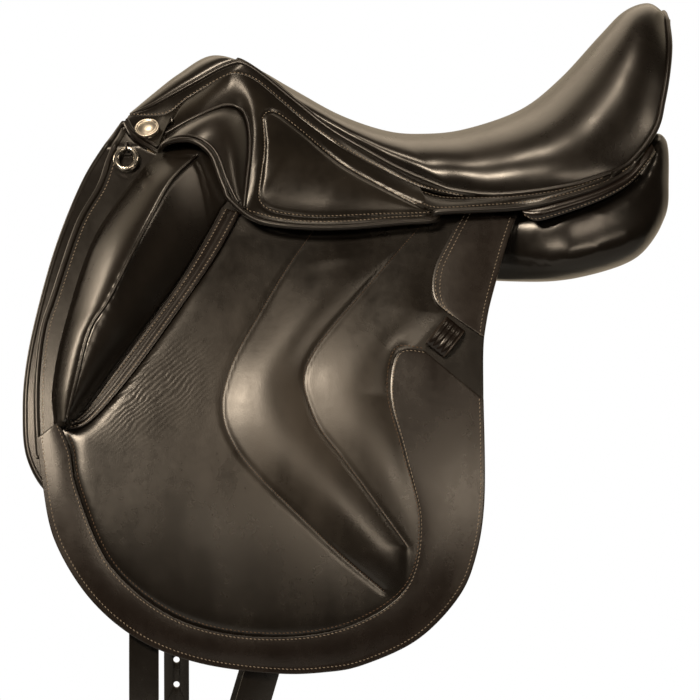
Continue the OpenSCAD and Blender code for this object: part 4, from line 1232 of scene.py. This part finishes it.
# %% [markdown]
# ## Stitching
# A stitch is one small, low shape. It is laid along each seam at the pitch of the thread,
# on the surface below it, a little askew, as an awl leaves it. Rows that cross the flap are cast
# on it from outside; the others lie at the nearest point of their piece.

# %% Lay a row of stitches
ASKEW = 0.22

bpy.ops.mesh.primitive_ico_sphere_add(subdivisions=1, radius=0.5)
bead = bpy.context.object
BEAD_POINTS = np.array([v.co[:] for v in bead.data.vertices])
BEAD_FACES = np.array([p.vertices[:] for p in bead.data.polygons])
bpy.data.objects.remove(bead)


def tree_of(piece):
    return BVHTree.FromObject(piece, bpy.context.evaluated_depsgraph_get())


def cast_on(tree, xz):
    """Where lines seen from the right, given by X and Z, meet a piece."""
    hits = [tree.ray_cast(Vector((x * MM, 1, z * MM)), Vector((0, -1, 0)))[0] for x, z in xz]
    return np.array([h[:] for h in hits if h is not None]) / MM


def sew(name, tree, lines, pitch=3.3, size=(2.5, 0.85, 0.6)):
    points, faces = [], []
    for line in lines:
        line = np.asarray(line, float)
        if line.shape[1] == 2:
            line = cast_on(tree, smooth(line, 200))
        length = np.linalg.norm(np.diff(line, axis=0), axis=1).sum()
        row = smooth(line, max(2, round(length / pitch)))
        near = [tree.find_nearest(Vector(p * MM)) for p in row]
        place = np.array([hit[0][:] for hit in near]) / MM
        up = np.array([hit[1][:] for hit in near])
        way = np.gradient(place, axis=0)
        way = unit(way - up * (way * up).sum(1, keepdims=True))
        side = np.cross(up, way)
        way, side = way + ASKEW * side, side - ASKEW * way
        frames = np.stack([way * size[0], side * size[1], up * size[2]], 1)
        for p, f in zip(place, frames):
            faces.append(BEAD_FACES + len(points) * len(BEAD_POINTS))
            points.append(p + BEAD_POINTS @ f)
    return new_piece(name, np.vstack(points), np.vstack(faces).tolist())


def sew_pair(name, piece, lines, body="saddle", slot="leather", finish=THREAD, **settings):
    thread = sew(name, tree_of(bpy.data.objects[piece + "_right"]), lines, **settings)
    settle_pair(thread, finish, body)


# %% Sew the flap
inner, outer = smooth(BORDER_SEAM, 240), smooth(BORDER_EDGE, 240)
sew_pair("border_thread", "border_hide", [inset(inner, outer, 2.6), inset(outer, inner, 4.5)],
         "flap", "trim_leather")
sew_pair("flap_seam_thread", "flap_hide", [inset(inner, outer, -3.2)], "flap",
         finish=BROWN_THREAD)
sew_pair("quilt_thread", "flap_hide", [SEAM_ONE, SEAM_TWO], "flap", finish=BROWN_THREAD,
         pitch=2.4, size=(1.7, 0.6, 0.35))
inner, outer = smooth(PATCH_FRONT, 60), smooth(PATCH_REAR, 60)
sew_pair("patch_thread", "patch_hide", [inset(inner, outer, 2.6), inset(inner, outer, 6.4),
                                        inset(outer, inner, 4)], "flap", "trim_leather")
front = smooth(FLAP_FRONT, 200)[8:118]
sew_pair("flap_edge_thread", "flap_hide", [inset(front, smooth(FLAP_REAR, 200)[8:118], 5)], "flap")
sew_pair("flange_thread", "flange_hide", [inset(flange_line, block_rear, 3),
                                          inset(flange_seam, flange_line, 3)],
         "flap", "trim_leather")

# %% Sew the skirt and the rear band
sew_pair("bend_thread", "band_hide", [inset(band[-1], band[0], 2.2)])
low_row = inset(skirt_face[-1], skirt_face[-12], 4)[54:-4]
sew_pair("skirt_thread", "skirt_hide", [TRIANGLE, low_row], "skirt")
sew_pair("rear_band_thread", "rear_band_hide", [inset(rear[-1], rear[0], 4)[2:-2],
                                                inset(rear[0], rear[-1], 4)[2:-2]])
sew_pair("strip_thread", "facing_strip", [strip[-3]], slot="trim_leather")

# %% [markdown]
# ## Backdrop
# The saddle hangs over a small pale floor, before plain white. The camera sees that white all
# round, and polished pieces mirror a little of it on the far side, where the wall is. What the
# leather mirrors elsewhere is a dim warm room, dark overhead.

# %% Lay the floor
FLOOR_DROP = 6 * MM
FLOOR_SIZE = Vector((2.4, 1.3))
FLOOR_REAR = 0.38
FLOOR_GREY = (0.50, 0.55, 0.62, 1)

bpy.ops.object.select_all(action="DESELECT")
bpy.ops.mesh.primitive_plane_add(size=1)
floor = bpy.context.object
floor.name = "studio_floor"
middle_y = FLOOR_REAR - FLOOR_SIZE.y / 2
floor_z = cad_box[0][2] - FLOOR_DROP
for v in floor.data.vertices:
    v.co = (v.co.x * FLOOR_SIZE.x, v.co.y * FLOOR_SIZE.y + middle_y, floor_z)
paper = Finish("floor_paper").surface(Base_Color=FLOOR_GREY, Roughness=0.8)
floor.data.materials.append(paper)
floor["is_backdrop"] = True
print("floor at", round(floor_z, 3))

# %% Light the room
WHITE_MIRRORED = 0.2
ROOM_DARK, ROOM_WARM, WHITE = (0.028, 0.025, 0.021, 1), (0.48, 0.35, 0.18, 1), (1, 1, 1, 1)

world = bpy.data.worlds.new("warm_room")
scene.world = world
world.use_nodes = True
room = NodeTree(world.node_tree)
way = room.node("ShaderNodeTexCoord", output="Generated")


def fade(axis, start, end):
    """0 to 1 as a direction's share along an axis goes from start to end."""
    share = room.node("ShaderNodeSeparateXYZ", {}, {0: way}, output=axis)
    return room.node("ShaderNodeMapRange", {"interpolation_type": "SMOOTHSTEP"},
                     {0: share, 1: start, 2: end})


wall = fade("Z", 0.92, 0.70) * fade("Y", 0.1, 0.5)
tone = room.blend(wall, ROOM_DARK, ROOM_WARM)
camera_ray, glossy_ray, through_ray = [room.node("ShaderNodeLightPath", output=kind) for kind in (
    "Is Camera Ray", "Is Glossy Ray", "Is Transmission Ray")]
white = room.clamp(camera_ray + through_ray + glossy_ray * wall * WHITE_MIRRORED)
room.feed(world.node_tree.nodes["Background"].inputs["Color"], room.blend(white, tone, WHITE))
scene.view_settings.view_transform = "Standard"
print("view:", scene.view_settings.view_transform)

# %% Compare the boxes and finish
new_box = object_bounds()
boxes = {"cad": [list(corner) for corner in cad_box], "scene": [list(corner) for corner in new_box]}
for key, corners in boxes.items():
    print(key, [[round(v, 4) for v in corner] for corner in corners])
